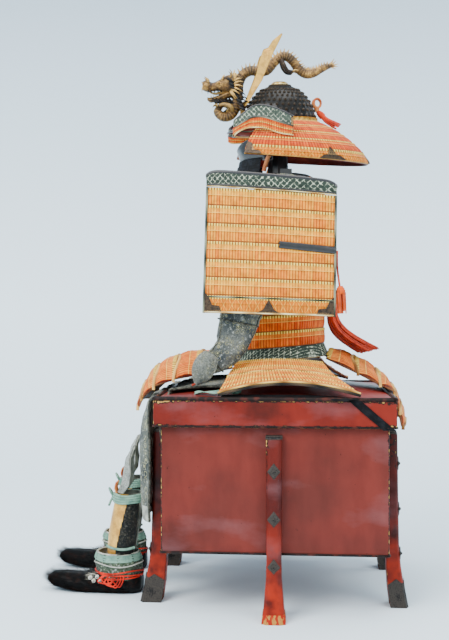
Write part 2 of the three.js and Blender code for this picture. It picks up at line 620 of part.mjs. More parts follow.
const JAW_SECTIONS = [
  { y: -126, z: 84, half: 14, high: 12 }, { y: -148, z: 75, half: 12, high: 8 }, { y: -172, z: 66, half: 11, high: 6 },
  { y: -190, z: 61, half: 9, high: 5.5 }, { y: -201, z: 64, half: 4, high: 3 },
];
const sectionLoft = (rows, sides) => loft(rows.map(({ y, z, half, high }) =>
  oval(vec(0, y, z), vec(half, 0, 0), vec(0, 0, high), sides)));
function dragon() {
  const parts = [dragonBody(), sectionLoft(HEAD_SECTIONS, 10), sectionLoft(JAW_SECTIONS, 8)];
  for (const side of [1, -1]) {
    parts.push(taperedTube([
      { at: vec(side * 13, -146, 110), r: 5.5 }, { at: vec(side * 20, -138, 128), r: 3.6 }, { at: vec(side * 23, -143, 143), r: 0.8 },
    ], 5));
    // a hind leg under the arch of the back, with its foot and claws spread
    parts.push(taperedTube([
      { at: vec(side * 7, 4, 168), r: 6.5 }, { at: vec(side * 20, 10, 152), r: 5.5 }, { at: vec(side * 19, 20, 138), r: 4.5 },
      { at: vec(side * 22, 34, 136), r: 1.5 },
    ], 6));
    // a foreleg at the coil
    parts.push(taperedTube([
      { at: vec(side * 8, -130, 30), r: 6 }, { at: vec(side * 22, -136, 44), r: 5 }, { at: vec(side * 20, -154, 50), r: 4.5 },
      { at: vec(side * 18, -170, 46), r: 1.5 },
    ], 6));
  }
  return join(...parts);
}
piece("dragon", dragon(), giltCarving, helmet);

// Tassels: a bound head with strands that hang apart from it.
function tassel({ path, spread, headR, headLong, strands, strandR, flat = 1 }) {
  const parts = [];
  const start = path[0].clone();
  const way = path[1].clone().sub(path[0]).normalize();
  const side = Math.abs(way.x) > 0.9 ? vec(0, 1, 0) : vec(1, 0, 0);
  parts.push(taperedTube([
    { at: start.clone().addScaledVector(way, -headLong), r: headR * 0.5 },
    { at: start.clone().addScaledVector(way, -headLong * 0.5), r: headR },
    { at: start.clone().addScaledVector(way, strandR * 2), r: headR * 1.05 },
  ], 10, side));
  const q = way.clone().cross(side).normalize();
  const p = q.clone().cross(way).normalize();
  const rings = [{ count: Math.ceil(strands * 0.68), share: 0.8 }, { count: Math.floor(strands * 0.32), share: 0.36 }];
  for (const { count, share } of rings)
    for (let k = 0; k < count; k++) {
      const a = (2 * Math.PI * (k + (share < 0.5 ? 0.5 : 0))) / count;
      const out = p.clone().multiplyScalar(Math.cos(a)).addScaledVector(q, flat * Math.sin(a));
      parts.push(taperedTube(path.map((centre, i) => ({
        at: centre.clone().addScaledVector(out, headR * share + (spread * share * i) / (path.length - 1)),
        r: i === path.length - 1 ? strandR * 0.6 : strandR,
      })), 3, side));
    }
  return join(...parts);
}

// Helmet bow: an orange loop on the ring behind the bowl, with a red tassel lying down the neck guard.
function helmetBow() {
  const knot = new THREE.SphereGeometry(8, 6, 4).translate(0, 101.3, 37);
  const loops = [1, -1].map((side) => new THREE.TorusGeometry(12, 3.4, 5, 8)
    .rotateY(Math.PI / 2).rotateX(rad(38)).rotateZ(rad(side * 30)).translate(side * 8, 102.4, 53));
  const hanging = tassel({
    path: [vec(0, 118, 17), vec(0, 128, 6), vec(0, 142, -3), vec(0, 162, -15)],
    spread: 5, headR: 8, headLong: 22, strands: 6, strandR: 2.3, flat: 0.55,
  });
  return join(knot, ...loops, hanging);
}
piece("helmet_bow", helmetBow(), redSilk, helmet);

// Face: a plain chin guard and its three-lame throat guard, held by the two chin cords.
const FACE = { y: 0, halfX: 80, deep: 112, low: 1152, high: 1212 };
const face = (angle, z, extra = 0) => {
  const chin = 1 - 0.16 * ((FACE.high - z) / (FACE.high - FACE.low)) ** 2;
  return vec((FACE.halfX * chin + extra) * Math.sin(rad(angle)), FACE.y - (FACE.deep * chin + extra) * Math.cos(rad(angle)), z);
};
piece("chin_mask", surfaceWall({
  at: (u, v) => face(u, mix(FACE.high - 26 * Math.cos(rad(u)) ** 4, FACE.low, v)),
  across: steps(-84, 84, 12),
  rows: plainRows(3),
  wall: 3,
  awayFrom: vec(0, 0, 1180),
}), blackLacquer);
piece("throat_guard", surfaceWall({
  at: (u, v) => face(u, FACE.low + 4, 3.6 + 14 * v).setZ(FACE.low + 4 - 46 * v - 4 * Math.cos(rad(u))),
  across: steps(-66, 66, 10),
  rows: lameRows(3, 2.4),
  wall: 3,
  awayFrom: vec(0, 0, 1180),
}), blackLacquer);

const CORD_R = 6;
for (const [hand, side] of [["left", 1], ["right", -1]])
  piece(`chin_cord_${hand}`, taperedTube([
    { at: vec(side * 91, -40, side > 0 ? 1241 : 1263), r: CORD_R }, { at: vec(side * 90, -32, 1215), r: CORD_R },
    { at: vec(side * 86.8, -17, 1190), r: CORD_R }, { at: vec(side * 87, -20, 1162), r: CORD_R },
    { at: vec(side * 84, -28, 1140), r: CORD_R }, { at: vec(side * 81, -34, 1111), r: CORD_R },
  ], 7), orangeLacing);

// Back bow: one thick cord tied in a bow, whose two tassels fall over the back tasset.
const BOW_Y = 148.8;
function backBow() {
  const knot = new THREE.SphereGeometry(13, 8, 6).scale(1, 0.6, 1).translate(0, BOW_Y, 930);
  const loops = [1, -1].map((side) => new THREE.TorusGeometry(27, 5, 5, 11)
    .rotateX(Math.PI / 2).scale(1.25, 1, 0.72).translate(side * 38, BOW_Y, 936));
  const tails = [1, -1].map((side) => join(
    taperedTube([
      { at: vec(side * 4, BOW_Y, 926), r: 4.5 }, { at: vec(side * 17, BOW_Y - 2, 870), r: 4.5 },
      { at: vec(side * 25, BOW_Y - 3, 800), r: 4.5 }, { at: vec(side * 27, BOW_Y - 4, 765), r: 4.5 },
    ], 6),
    tassel({
      path: [vec(side * 27, 148, 750), vec(side * 28, 158, 710), vec(side * 30, 190, 674), vec(side * 32, 266, 628)],
      spread: 15, headR: 15, headLong: 20, strands: 7, strandR: 3.4, flat: 0.6,
    }),
  ));
  return join(knot, ...loops, ...tails);
}
piece("back_bow", backBow(), redSilk);

// Shoulder-guard tassels, on a short cord at each guard's rear edge.
for (const [hand, side] of [["left", 1], ["right", -1]])
  piece(`guard_tassel_${hand}`, join(
    taperedTube([
      { at: vec(side * 276, 153.6, 893), r: 2.6 }, { at: vec(side * 276, 154, 850), r: 2.6 }, { at: vec(side * 277, 161.5, 794), r: 2.6 },
    ], 6),
    tassel({
      path: [vec(side * 277, 162, 788), vec(side * 277, 163, 768), vec(side * 277, 164, 728)],
      spread: 2, headR: 10, headLong: 12, strands: 6, strandR: 2.8,
    }),
  ), redSilk);

// Sleeves: quilted brocade tubes over the bar's ends, hanging to the wrist, with a leaf-shaped hand guard.
const SLEEVE_LINE = [
  { s: 0, x: 188, y: 24, z: 1050, across: 58, thick: 54 }, { s: 0.08, x: 212, y: 20, z: 1030, across: 58, thick: 42 },
  { s: 0.18, x: 226, y: 12, z: 985, across: 58, thick: 28 }, { s: 0.34, x: 230, y: -10, z: 900, across: 56, thick: 23 },
  { s: 0.5, x: 231, y: -50, z: 812, across: 55, thick: 22 }, { s: 0.64, x: 230, y: -86, z: 742, across: 54, thick: 21 },
  { s: 0.76, x: 229, y: -98, z: 694, across: 48, thick: 21 }, { s: 0.86, x: 228, y: -114, z: 652, across: 41, thick: 20 },
  { s: 0.94, x: 228, y: -140, z: 625, across: 34, thick: 17 }, { s: 1, x: 228, y: -162, z: 608, across: 27, thick: 13 },
];
const SLEEVE_CREASE = 2.4;
function sleeveFrame(v) {
  const here = along(SLEEVE_LINE, "s", v);
  const before = along(SLEEVE_LINE, "s", Math.max(0, v - 0.04));
  const after = along(SLEEVE_LINE, "s", Math.min(1, v + 0.04));
  const way = vec(after.x - before.x, after.y - before.y, after.z - before.z).normalize();
  const thick = way.clone().cross(vec(0, 1, 0)).normalize();
  const across = thick.clone().cross(way).normalize();
  return { centre: vec(here.x, here.y, here.z), thick, across, ...{ halfT: here.thick, halfA: here.across } };
}
function sleeve(side) {
  const rows = steps(0, 1, 9);
  const ring = (v, shrink, i) => {
    const f = sleeveFrame(v);
    const sides = 12;
    return Array.from({ length: sides }, (_, k) => {
      const a = (2 * Math.PI * k) / sides;
      const crease = i % 2 && v > 0.1 ? SLEEVE_CREASE * (1 + Math.cos(3 * a)) / 2 : 0;
      const p = f.centre.clone()
        .addScaledVector(f.thick, (f.halfT - shrink - (shrink ? 0 : crease)) * Math.cos(a))
        .addScaledVector(f.across, (f.halfA - shrink - (shrink ? 0 : crease)) * Math.sin(a));
      return vec(side * p.x, p.y, p.z);
    });
  };
  const wall = 5.5;
  return wallBetween(rows.map((v, i) => ring(v, 0, i)), rows.map((v, i) => ring(v, wall, i)), true);
}
// Hand guards: leaf-shaped leather plates over the back of each hand.
const HAND_LINE = [
  { s: 0, half: 20 }, { s: 0.18, half: 31 }, { s: 0.42, half: 35 }, { s: 0.66, half: 30 }, { s: 0.86, half: 17 }, { s: 1, half: 3 },
];
const HAND = { x: 253, y: -168, top: 643, tip: 561 };
for (const [hand, side] of [["left", 1], ["right", -1]]) {
  piece(`sleeve_${hand}`, sleeve(side), greyBrocade);
  piece(`hand_guard_${hand}`, surfaceWall({
    at: (u, v) => {
      const { half } = along(HAND_LINE, "s", v);
      return vec(side * (HAND.x - 9 * u * u - 8 * v * v), HAND.y + half * u, mix(HAND.top, HAND.tip, v) - 8 * u * u * (1 - v));
    },
    across: steps(-1, 1, 6),
    rows: HAND_LINE.map(({ s }) => ({ v: s, rise: 0 })),
    wall: 3.5,
    awayFrom: vec(0, -168, 600),
  }), printedLeather);
}

// Thigh guards: two padded aprons that lie on the lid, bend over its front edge and hang before the chest.
const THIGH_LINE = [
  { s: 0, y: -128, z: 0, lift: 6, curl: 0, hang: 0 }, { s: 0.1, y: -175, z: 0, lift: 9, curl: 0, hang: 0 },
  { s: 0.2, y: -222, z: 0, lift: 10, curl: 0, hang: 0 }, { s: 0.3, y: -270, z: 0, lift: 9, curl: 0, hang: 0 },
  { s: 0.37, y: -303, z: 537, lift: 4, curl: 2, hang: 1 }, { s: 0.44, y: -325, z: 512, lift: 0, curl: 8, hang: 1 },
  { s: 0.53, y: -342, z: 465, lift: 0, curl: 22, hang: 1 }, { s: 0.63, y: -351, z: 412, lift: 0, curl: 34, hang: 1 },
  { s: 0.74, y: -353, z: 352, lift: 0, curl: 36, hang: 1 }, { s: 0.85, y: -350, z: 292, lift: 0, curl: 32, hang: 1 },
  { s: 0.93, y: -346, z: 248, lift: 0, curl: 26, hang: 1 }, { s: 1, y: -341, z: 208, lift: 0, curl: 22, hang: 1 },
];
const THIGH = { inner: 34, outer: 226, wall: 5 };
for (const [hand, side] of [["left", 1], ["right", -1]])
  piece(`thigh_guard_${hand}`, surfaceWall({
    at: (u, v) => {
      const { y, z, lift, curl, hang } = along(THIGH_LINE, "s", v);
      const narrow = v > 0.63 ? 26 * ((v - 0.63) / 0.37) ** 1.5 : 0;
      const middle = (THIGH.inner + THIGH.outer) / 2;
      const x = middle + (u * (THIGH.outer - THIGH.inner - narrow)) / 2;
      const onLid = lidTop(x, y) + 0.6 + lift * Math.abs(u) ** 2;
      return vec(side * x, y + curl * Math.abs(u) ** 3, hang > 0 ? mix(onLid, z, hang) : onLid);
    },
    across: steps(-1, 1, 6),
    rows: [0, 0.1, 0.2, 0.3, 0.37, 0.44, 0.53, 0.63, 0.74, 0.85, 0.93, 1].map((v) => ({ v, rise: 0 })),
    wall: THIGH.wall,
    awayFrom: vec(side * 130, -150, 300),
  }), greyBrocade);

// Shins, knees, ankle cuffs and fur boots. The right leg stands further out and further forward.
const LEGS = [
  { hand: "left", x: 105, forward: 0 },
  { hand: "right", x: -138, forward: TOE_REACH - 612 },
];
const SHIN_LINE = [
  { z: 262, y: -390, r: 32 }, { z: 215, y: -396, r: 36 }, { z: 160, y: -404, r: 38.5 }, { z: 110, y: -410, r: 37 }, { z: 61.2, y: -411, r: 33.5 },
];
const KNEE_LINE = [
  { s: 0, z: 384, front: -378, half: 26 }, { s: 0.3, z: 350, front: -398, half: 50 }, { s: 0.55, z: 318, front: -404, half: 66 },
  { s: 0.8, z: 286, front: -410, half: 70 }, { s: 1, z: 262.6, front: -420, half: 60 },
];
const CUFF_LINE = [
  { z: 104, y: -421, r: 53 }, { z: 86, y: -418, r: 50 }, { z: 62, y: -412, r: 44 },
];
const BOOT_LINE = [
  { y: -612, half: 12, low: 26, high: 46 }, { y: -598, half: 26, low: 15, high: 56 }, { y: -560, half: 36, low: 6, high: 57 },
  { y: -510, half: 42, low: 0, high: 55 }, { y: -470, half: 47, low: 0, high: 58 }, { y: -420, half: 50, low: 0, high: 62 },
  { y: -376, half: 46, low: 0, high: 60 }, { y: -357, half: 30, low: 3, high: 50 },
];
// A boot's section across: flat under the foot, round over it.
function bootRing({ y, half, low, high }, inset = 0) {
  const [w, l, h] = [half - inset, low + inset, high - inset];
  return [[-0.7, 0], [0.7, 0], [0.97, 0.2], [1, 0.5], [0.82, 0.82], [0.4, 1], [-0.4, 1], [-0.82, 0.82], [-1, 0.5], [-0.97, 0.2]]
    .map(([across, up]) => vec(across * w, y, l + up * (h - l)));
}
function boot() {
  const outside = loft(BOOT_LINE.map((row) => bootRing(row)));
  const inside = BOOT_LINE.slice(2, 7).map((row, i) => bootRing({ ...row, y: row.y + (i === 4 ? -6 : 0) }, 9));
  const mouth = taperedTube([
    { at: vec(0, -411, 30), r: 33 }, { at: vec(0, -411, 120), r: 33 },
  ], 16);
  return cut(outside, loft(inside), mouth);
}
for (const { hand, x, forward } of LEGS) {
  const place = (g) => g.translate(x, -forward, 0);
  piece(`shin_guard_${hand}`, place(surfaceWall({
    at: (u, v) => {
      const { y, r } = along(SHIN_LINE, "z", mix(262, 61.2, v));
      return vec(r * Math.sin(rad(u)), y - r * Math.cos(rad(u)), mix(262, 61.2, v));
    },
    across: steps(-146, 146, 12),
    rows: plainRows(4),
    wall: 3,
    awayFrom: vec(0, -402, 170),
  })), giltPlate);
  piece(`knee_guard_${hand}`, place(surfaceWall({
    at: (u, v) => {
      const { z, front, half } = along(KNEE_LINE, "s", v);
      const r = 36;
      return vec(r * Math.sin(rad(u * half)), front + r * (1 - Math.cos(rad(u * half))), z);
    },
    across: steps(-1, 1, 6),
    rows: plainRows(5),
    wall: 3.5,
    awayFrom: vec(0, -380, 300),
  })), greyBrocade);
  piece(`ankle_cuff_${hand}`, place(wallBetween(
    CUFF_LINE.map(({ z, y, r }) => oval(vec(0, y, z + GAP), vec(r, 0, 0), vec(0, r, 0), 16)),
    CUFF_LINE.map(({ z, y, r }) => oval(vec(0, y, z + GAP), vec(r - 3, 0, 0), vec(0, r - 3, 0), 16)),
    true,
  )), greyBrocade);
  piece(`boot_${hand}`, place(boot()), blackFur);
}

// Waist tie: a black cotton band that runs along the lid's left edge and down over its corner.
// near and far are the places of its two edges: on the lid's top at x, then on its side at (y, z).
const TIE_LINE = [
  { s: 0, x: 296, far: -130, near: -130, z: 0 }, { s: 1, x: 298, far: -20, near: -20, z: 0 },
  { s: 2, x: 297, far: 90, near: 84, z: 0 }, { s: 3, x: 303, far: 150, near: 128, z: 0 },
  { s: 4, x: 330, far: 206, near: 176, z: 531.5 }, { s: 5, x: 330, far: 247, near: 217, z: 496 },
  { s: 6, x: 330, far: 292, near: 262, z: 458 },
];
const TIE = { wide: 22, wall: 1.6 };
piece("waist_tie", surfaceWall({
  at: (u, v) => {
    const { x, far, near, z } = along(TIE_LINE, "s", v * 6);
    const y = mix(far, near, u);
    if (v * 6 > 3.999) return vec(LID_X + 0.7, y, z);
    const across = x + u * TIE.wide;
    return vec(across, y, lidTop(across, y) + 1.6);
  },
  across: [0, 0.5, 1],
  rows: steps(0, 1, 6).map((v) => ({ v, rise: 0 })),
  wall: TIE.wall,
  awayFrom: vec(0, 60, 300),
}), blackCotton);

const armour = new THREE.Group();
armour.add(seat);
export default armour;
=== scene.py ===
"""A samurai armour of orange-laced lames on its lacquered chest. Tables are in mm, as in the part."""
import math
import random

import bmesh
import bpy
import numpy as np
from mathutils import Matrix, Vector


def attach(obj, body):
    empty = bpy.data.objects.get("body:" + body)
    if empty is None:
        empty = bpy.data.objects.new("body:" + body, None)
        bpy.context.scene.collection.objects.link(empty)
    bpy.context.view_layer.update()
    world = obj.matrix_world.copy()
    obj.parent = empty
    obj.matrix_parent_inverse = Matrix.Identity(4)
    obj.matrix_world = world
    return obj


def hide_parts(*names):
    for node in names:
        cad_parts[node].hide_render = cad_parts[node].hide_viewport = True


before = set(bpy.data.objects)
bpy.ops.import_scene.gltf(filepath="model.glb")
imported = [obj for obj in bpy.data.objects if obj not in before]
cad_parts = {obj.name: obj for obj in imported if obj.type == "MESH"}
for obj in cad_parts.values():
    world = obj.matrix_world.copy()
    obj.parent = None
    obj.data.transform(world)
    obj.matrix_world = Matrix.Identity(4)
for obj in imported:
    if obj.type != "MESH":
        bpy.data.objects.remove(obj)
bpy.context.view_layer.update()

# Camera: level, on the armour's left, turned a little toward its front.
# It stands 2.7 m off at the height of the shoulder guards' lower edge.
CHEST_Y = 148.0  # the chest's middle in the row frame, mm
TURN = math.radians(4.5)  # the view turns this far from square to the side
camera_data = bpy.data.cameras.new("camera")
camera = bpy.data.objects.new("camera", camera_data)
bpy.context.scene.collection.objects.link(camera)
bpy.context.scene.camera = camera
camera_data.sensor_width = 36.0
camera_data.sensor_fit = "AUTO"
camera_data.lens = 55.24
camera_data.shift_y = -5 / 640  # the photo is 640 pixels high
camera.location = (2.702, 0.067 + CHEST_Y / 1000, 0.735)  # m
view_way = Vector((-math.cos(TURN), -math.sin(TURN), 0))
camera.rotation_euler = view_way.to_track_quat("-Z", "Y").to_euler()


# Helpers for every section: colours, shader nodes, meshes and surfaces.

def linear(hex_colour):
    """An sRGB hex colour as linear red, green, blue and alpha."""
    parts = [int(hex_colour[i:i + 2], 16) / 255 for i in (1, 3, 5)]
    return [c / 12.92 if c <= 0.04045 else ((c + 0.055) / 1.055) ** 2.4 for c in parts] + [1.0]


def add(tree, kind, values=(), **settings):
    """One shader node. values are its inputs: numbers, or sockets to link."""
    made = tree.nodes.new(kind)
    for key, value in settings.items():
        setattr(made, key, value)
    for key, value in dict(values).items():
        if isinstance(value, bpy.types.NodeSocket):
            tree.links.new(value, made.inputs[key])
        else:
            made.inputs[key].default_value = value
    return made


def sums(tree, operation, a, b=0.0, c=0.0):
    """The result of one Math node."""
    return add(tree, "ShaderNodeMath", {0: a, 1: b, 2: c}, operation=operation).outputs[0]


def times(tree, a, b):
    """The product of two values."""
    return sums(tree, "MULTIPLY", a, b)


def off_middle(tree, value):
    """0 at the middle of each whole step of value, 1 at its ends."""
    part = sums(tree, "SUBTRACT", sums(tree, "FRACT", value), 0.5)
    return times(tree, sums(tree, "ABSOLUTE", part), 2.0)


def ramp(tree, fac, stops):
    """A colour ramp: stops are (place, hex colour)."""
    made = add(tree, "ShaderNodeValToRGB", {0: fac})
    elements = made.color_ramp.elements
    while len(elements) < len(stops):
        elements.new(0.5)
    for element, (place, colour) in zip(elements, stops):
        element.position = place
        element.color = linear(colour)
    return made.outputs[0]


def rising(low, high):
    """The stops of a ramp from black to white."""
    return (low, "#000000"), (high, "#ffffff")


def blend(tree, fac, a, b, mode="MIX"):
    """Two colours mixed."""
    made = add(tree, "ShaderNodeMix", {0: fac}, data_type="RGBA", blend_type=mode)
    for index, value in ((6, a), (7, b)):
        if isinstance(value, bpy.types.NodeSocket):
            tree.links.new(value, made.inputs[index])
        else:
            made.inputs[index].default_value = linear(value) if isinstance(value, str) else value
    return made.outputs[2]


def begin(name, rough=0.6, metal=0.0, coat=0.0, sheen=0.0):
    """A new material with its tree, its shader and its Object coordinates."""
    made = bpy.data.materials.new(name)
    made.use_nodes = True
    tree = made.node_tree
    shader = tree.nodes["Principled BSDF"]
    shader.inputs["Roughness"].default_value = rough
    shader.inputs["Metallic"].default_value = metal
    shader.inputs["Coat Weight"].default_value = coat
    shader.inputs["Sheen Weight"].default_value = sheen
    shader.inputs["Specular IOR Level"].default_value = 0.5 if metal or coat > 0.26 else 0.14
    place = add(tree, "ShaderNodeTexCoord").outputs["Object"]
    return made, tree, shader, place


def noise(tree, place, size_mm, detail=4.0, stretch=None):
    """Noise whose features are size_mm across; stretch scales x, y and z."""
    if stretch:
        place = add(tree, "ShaderNodeMapping", {0: place, 3: stretch}).outputs[0]
    return add(tree, "ShaderNodeTexNoise",
               {"Vector": place, "Scale": 1000 / size_mm, "Detail": detail}).outputs[0]


def bump(tree, shader, height, strength=0.3, depth_mm=1.0, under=None):
    """A bump of real depth, over another one where under is given."""
    values = {"Height": height, "Strength": strength, "Distance": depth_mm / 1000}
    if under:
        values["Normal"] = under
    made = add(tree, "ShaderNodeBump", values)
    tree.links.new(made.outputs[0], shader.inputs["Normal"])
    return made.outputs[0]


def worn(name, colour, second, patch_mm=60, low=0.45, high=0.65, rough=0.6, edge=None, weave_mm=0,
         stretch=None,
         **finish):
    """A material of two colours in soft patches, with a fine grain, worn edges and a weave where asked."""
    made, tree, shader, place = begin(name, rough, **finish)
    patches = noise(tree, place, patch_mm, 5, stretch)
    colours = ramp(tree, patches, ((low, colour), (high, second)))
    grain = noise(tree, place, 2.5, 6, stretch)
    colours = blend(tree, 0.35, colours, ramp(tree, grain, ((0.3, "#8c8c8c"), (0.7, "#ffffff"))), "MULTIPLY")
    if edge:
        sharp = add(tree, "ShaderNodeNewGeometry").outputs["Pointiness"]
        rubbed = times(tree, ramp(tree, sharp, rising(0.5, 0.56)), grain)
        rubbed = ramp(tree, rubbed, rising(0.3, 0.5))
        colours = blend(tree, rubbed, colours, edge)
    tree.links.new(colours, shader.inputs["Base Color"])
    under = bump(tree, shader, grain, 0.5, 0.4)
    if weave_mm:
        threads = [add(tree, "ShaderNodeTexWave",
                       {"Vector": place, "Scale": 1000 / weave_mm / 20, "Distortion": 0.6},
                       bands_direction=way).outputs[1] for way in ("DIAGONAL", "Z")]
        bump(tree, shader, times(tree, *threads), 0.4, 0.5, under)
    spread = noise(tree, place, patch_mm * 0.4)
    tree.links.new(sums(tree, "MULTIPLY_ADD", spread, 0.25, rough - 0.12), shader.inputs["Roughness"])
    return made


def put(name, points, faces, materials, nodes=(), which=None, uv=None, smooth=True):
    """A finished object from points in mm, with a material index for each face and a UV for each point."""
    mesh = bpy.data.meshes.new(name)
    mesh.from_pydata((np.asarray(points, dtype=float) / 1000).tolist(), [], faces)
    materials = materials if isinstance(materials, (list, tuple)) else [materials]
    for entry in materials:
        mesh.materials.append(entry)
    if which is not None:
        mesh.polygons.foreach_set("material_index", np.asarray(which, dtype=np.int32))
    mesh.polygons.foreach_set("use_smooth", [smooth] * len(mesh.polygons))
    if uv is not None:
        layer = mesh.uv_layers.new(name="UVMap")
        corners = np.zeros(len(mesh.loops), dtype=np.int32)
        mesh.loops.foreach_get("vertex_index", corners)
        layer.data.foreach_set("uv", np.asarray(uv, dtype=float)[corners].ravel())
    mesh.validate()
    return keep(bpy.data.objects.new(name, mesh), nodes)


def keep(obj, nodes=()):
    """Links a finished object, hangs it from the root frame and hides the CAD nodes it replaces."""
    bpy.context.scene.collection.objects.link(obj)
    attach(obj, "root")
    if nodes:
        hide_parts(*([nodes] if isinstance(nodes, str) else nodes))
    return obj


def facing(points, faces):
    """The faces turned so that a closed form's volume is positive."""
    pts = np.asarray(points)
    volume = sum(float(np.dot(pts[f[0]], np.cross(pts[f[i]], pts[f[i + 1]]))) for f in faces
                 for i in range(1, len(f) - 1))
    return [tuple(reversed(f)) for f in faces] if volume < 0 else faces


def col(table, key, at):
    """A column of a table, read straight between its rows. at may be an array."""
    keys = np.array([row[0] for row in table], dtype=float)
    values = np.array([row[key] for row in table], dtype=float)
    if keys[0] > keys[-1]:
        keys, values = keys[::-1], values[::-1]
    return np.interp(at, keys, values)


def smooth_table(table, steps):
    """A table resampled on a smooth curve through its rows, with its first column as the key."""
    rows = np.array(table, dtype=float)
    keys = rows[:, 0]
    made = []
    for key in np.linspace(keys[0], keys[-1], steps):
        i = int(np.clip(np.searchsorted(keys if keys[0] < keys[-1] else -keys,
                                        key if keys[0] < keys[-1] else -key) - 1, 0, len(keys) - 2))
        t = (key - keys[i]) / (keys[i + 1] - keys[i])
        p0, p1, p2, p3 = (rows[int(np.clip(i + k, 0, len(keys) - 1))] for k in (-1, 0, 1, 2))
        value = 0.5 * (2 * p1 + (p2 - p0) * t + (2 * p0 - 5 * p1 + 4 * p2 - p3) * t ** 2
                       + (3 * p1 - p0 - 3 * p2 + p3) * t ** 3)
        value[0] = key
        made.append(tuple(value))
    return made


def lift(at, u, v, rise, away):
    """Points of the surface at(u, v), moved out by rise on the side away from a point."""
    e = 1e-3
    du = at(u + e, v) - at(u - e, v)
    dv = at(u, v + e) - at(u, v - e)
    normal = np.cross(du, dv)
    normal /= np.maximum(np.linalg.norm(normal, axis=-1, keepdims=True), 1e-9)
    i, j = u.shape[0] // 2, u.shape[1] // 2
    sign = np.sign(np.dot(normal[i, j], at(u, v)[i, j] - np.asarray(away)))
    return at(u, v) + normal * sign * np.asarray(rise)[..., None]


def traced(at, us, vs):
    """The run of points of a surface at us and vs, either of which may be one number."""
    return at(*np.broadcast_arrays(np.asarray(us, dtype=float), np.asarray(vs, dtype=float)))


def grid_faces(rows, cols, start=0, around=False):
    """Quads of a grid of points laid row by row."""
    spans = cols if around else cols - 1
    return [(start + i * cols + j, start + (i + 1) * cols + j,
             start + (i + 1) * cols + (j + 1) % cols, start + i * cols + (j + 1) % cols)
            for i in range(rows - 1) for j in range(spans)]


def shell(name, at, us, vs, wall, away, materials, nodes=(), rise=None, which=None, around=False,
          uv=None, inner_index=None):
    """A wall laid on at(u, v). rise(u, v) adds to it outside, which(u, v) picks its outer material."""
    us, vs = np.asarray(us, dtype=float), np.asarray(vs, dtype=float)
    v, u = np.meshgrid(vs, us, indexing="ij")
    extra = rise(u, v) if rise else 0
    outer = lift(at, u, v, wall + extra + np.zeros_like(u), away).reshape(-1, 3)
    inner = at(u, v).reshape(-1, 3)
    rows, cols = u.shape
    count = rows * cols
    faces = grid_faces(rows, cols, 0, around)
    spans = cols if around else cols - 1
    middle = (u[:-1, :spans] + 1e-6, v[:-1, :spans] + 1e-6)
    kinds = list(np.asarray(which(*middle), dtype=int).ravel()) if which else [0] * len(faces)
    inside = [tuple(reversed([k + count for k in f])) for f in faces]
    rim = []
    for j in range(spans):
        k = (j + 1) % cols
        rim.append((k, j, count + j, count + k))
        last = (rows - 1) * cols
        rim.append((last + j, last + k, count + last + k, count + last + j))
    if not around:
        for i in range(rows - 1):
            a, b = i * cols, (i + 1) * cols
            rim.append((a, b, count + b, count + a))
            rim.append((b + cols - 1, a + cols - 1, count + a + cols - 1, count + b + cols - 1))
    if inner_index is None:
        inner_index = len(materials) - 1
    points = np.concatenate([outer, inner])
    faces = faces + inside + rim
    kinds = kinds + [inner_index] * (len(faces) - len(kinds))
    coords = np.stack([u.ravel(), v.ravel()], axis=1) if uv is None else uv(u, v).reshape(-1, 2)
    return put(name, points, facing(points, faces), materials, nodes, kinds,
               np.concatenate([coords, coords]))


def seat(points):
    """Points measured from the chest's middle, moved to the row frame."""
    return np.asarray(points, dtype=float) + np.array([0, CHEST_Y, 0])


HANDS = (("left", 1), ("right", -1))  # the side's name and the sign of its x

# Helmet frame: pieces of the helmet are measured from the middle of its bowl's base, and turned with it.
BOWL = {"y": 7.0, "base": 1262.0, "halfX": 92.0, "halfY": 97.0, "height": 103.0, "wall": 4.0}
ROLL, YAW = math.radians(6.5), math.radians(7)
HELMET = np.array((Matrix.Rotation(ROLL, 3, "Y") @ Matrix.Rotation(YAW, 3, "Z")))


def helmet(points):
    """Points in the helmet's own frame, moved to the row frame."""
    return np.asarray(points, dtype=float) @ HELMET.T + np.array([0, BOWL["y"] + CHEST_Y, BOWL["base"]])


def unit(count):
    """Even steps from 0 to 1."""
    return np.linspace(0, 1, count)


def stack(*parts):
    """x, y and z arrays as points."""
    return np.stack(np.broadcast_arrays(*parts), axis=-1)


def tube(path, radius, sides=8):
    """Points and faces of a tube along a path. radius may be a list."""
    path = np.asarray(path, dtype=float)
    radii = np.broadcast_to(np.asarray(radius, dtype=float), (len(path),))
    ways = np.gradient(path, axis=0)
    ways /= np.linalg.norm(ways, axis=1, keepdims=True)
    side = np.array([1.0, 0, 0]) if abs(ways[0][0]) < 0.8 else np.array([0, 1.0, 0])
    points = []
    for place, way, r in zip(path, ways, radii):
        side = side - way * np.dot(side, way)
        side /= np.linalg.norm(side)
        up = np.cross(way, side)
        for k in range(sides):
            a = 2 * math.pi * k / sides
            points.append(place + r * (side * math.cos(a) + up * math.sin(a)))
    faces = grid_faces(len(path), sides, 0, True)
    faces += [tuple(reversed(range(sides))), tuple(range((len(path) - 1) * sides, len(path) * sides))]
    return np.array(points), facing(points, faces)


def rope(name, path, radius, sides, material, moved=seat):
    """A finished tube along a path: a cord, braid, rim or piping."""
    points, faces = tube(path, radius, sides)
    put(name, moved(points), faces, material)


def curve_through(points, count):
    """A smooth run of count points through a few."""
    rows = [(i, *p) for i, p in enumerate(points)]
    return np.array([row[1:] for row in smooth_table(rows, count)])


def joined(parts):
    """Several (points, faces) as one."""
    points, faces = [], []
    for pts, fcs in parts:
        start = len(points)
        points.extend(np.asarray(pts).tolist())
        faces.extend([tuple(start + k for k in f) for f in fcs])
    return np.array(points), faces
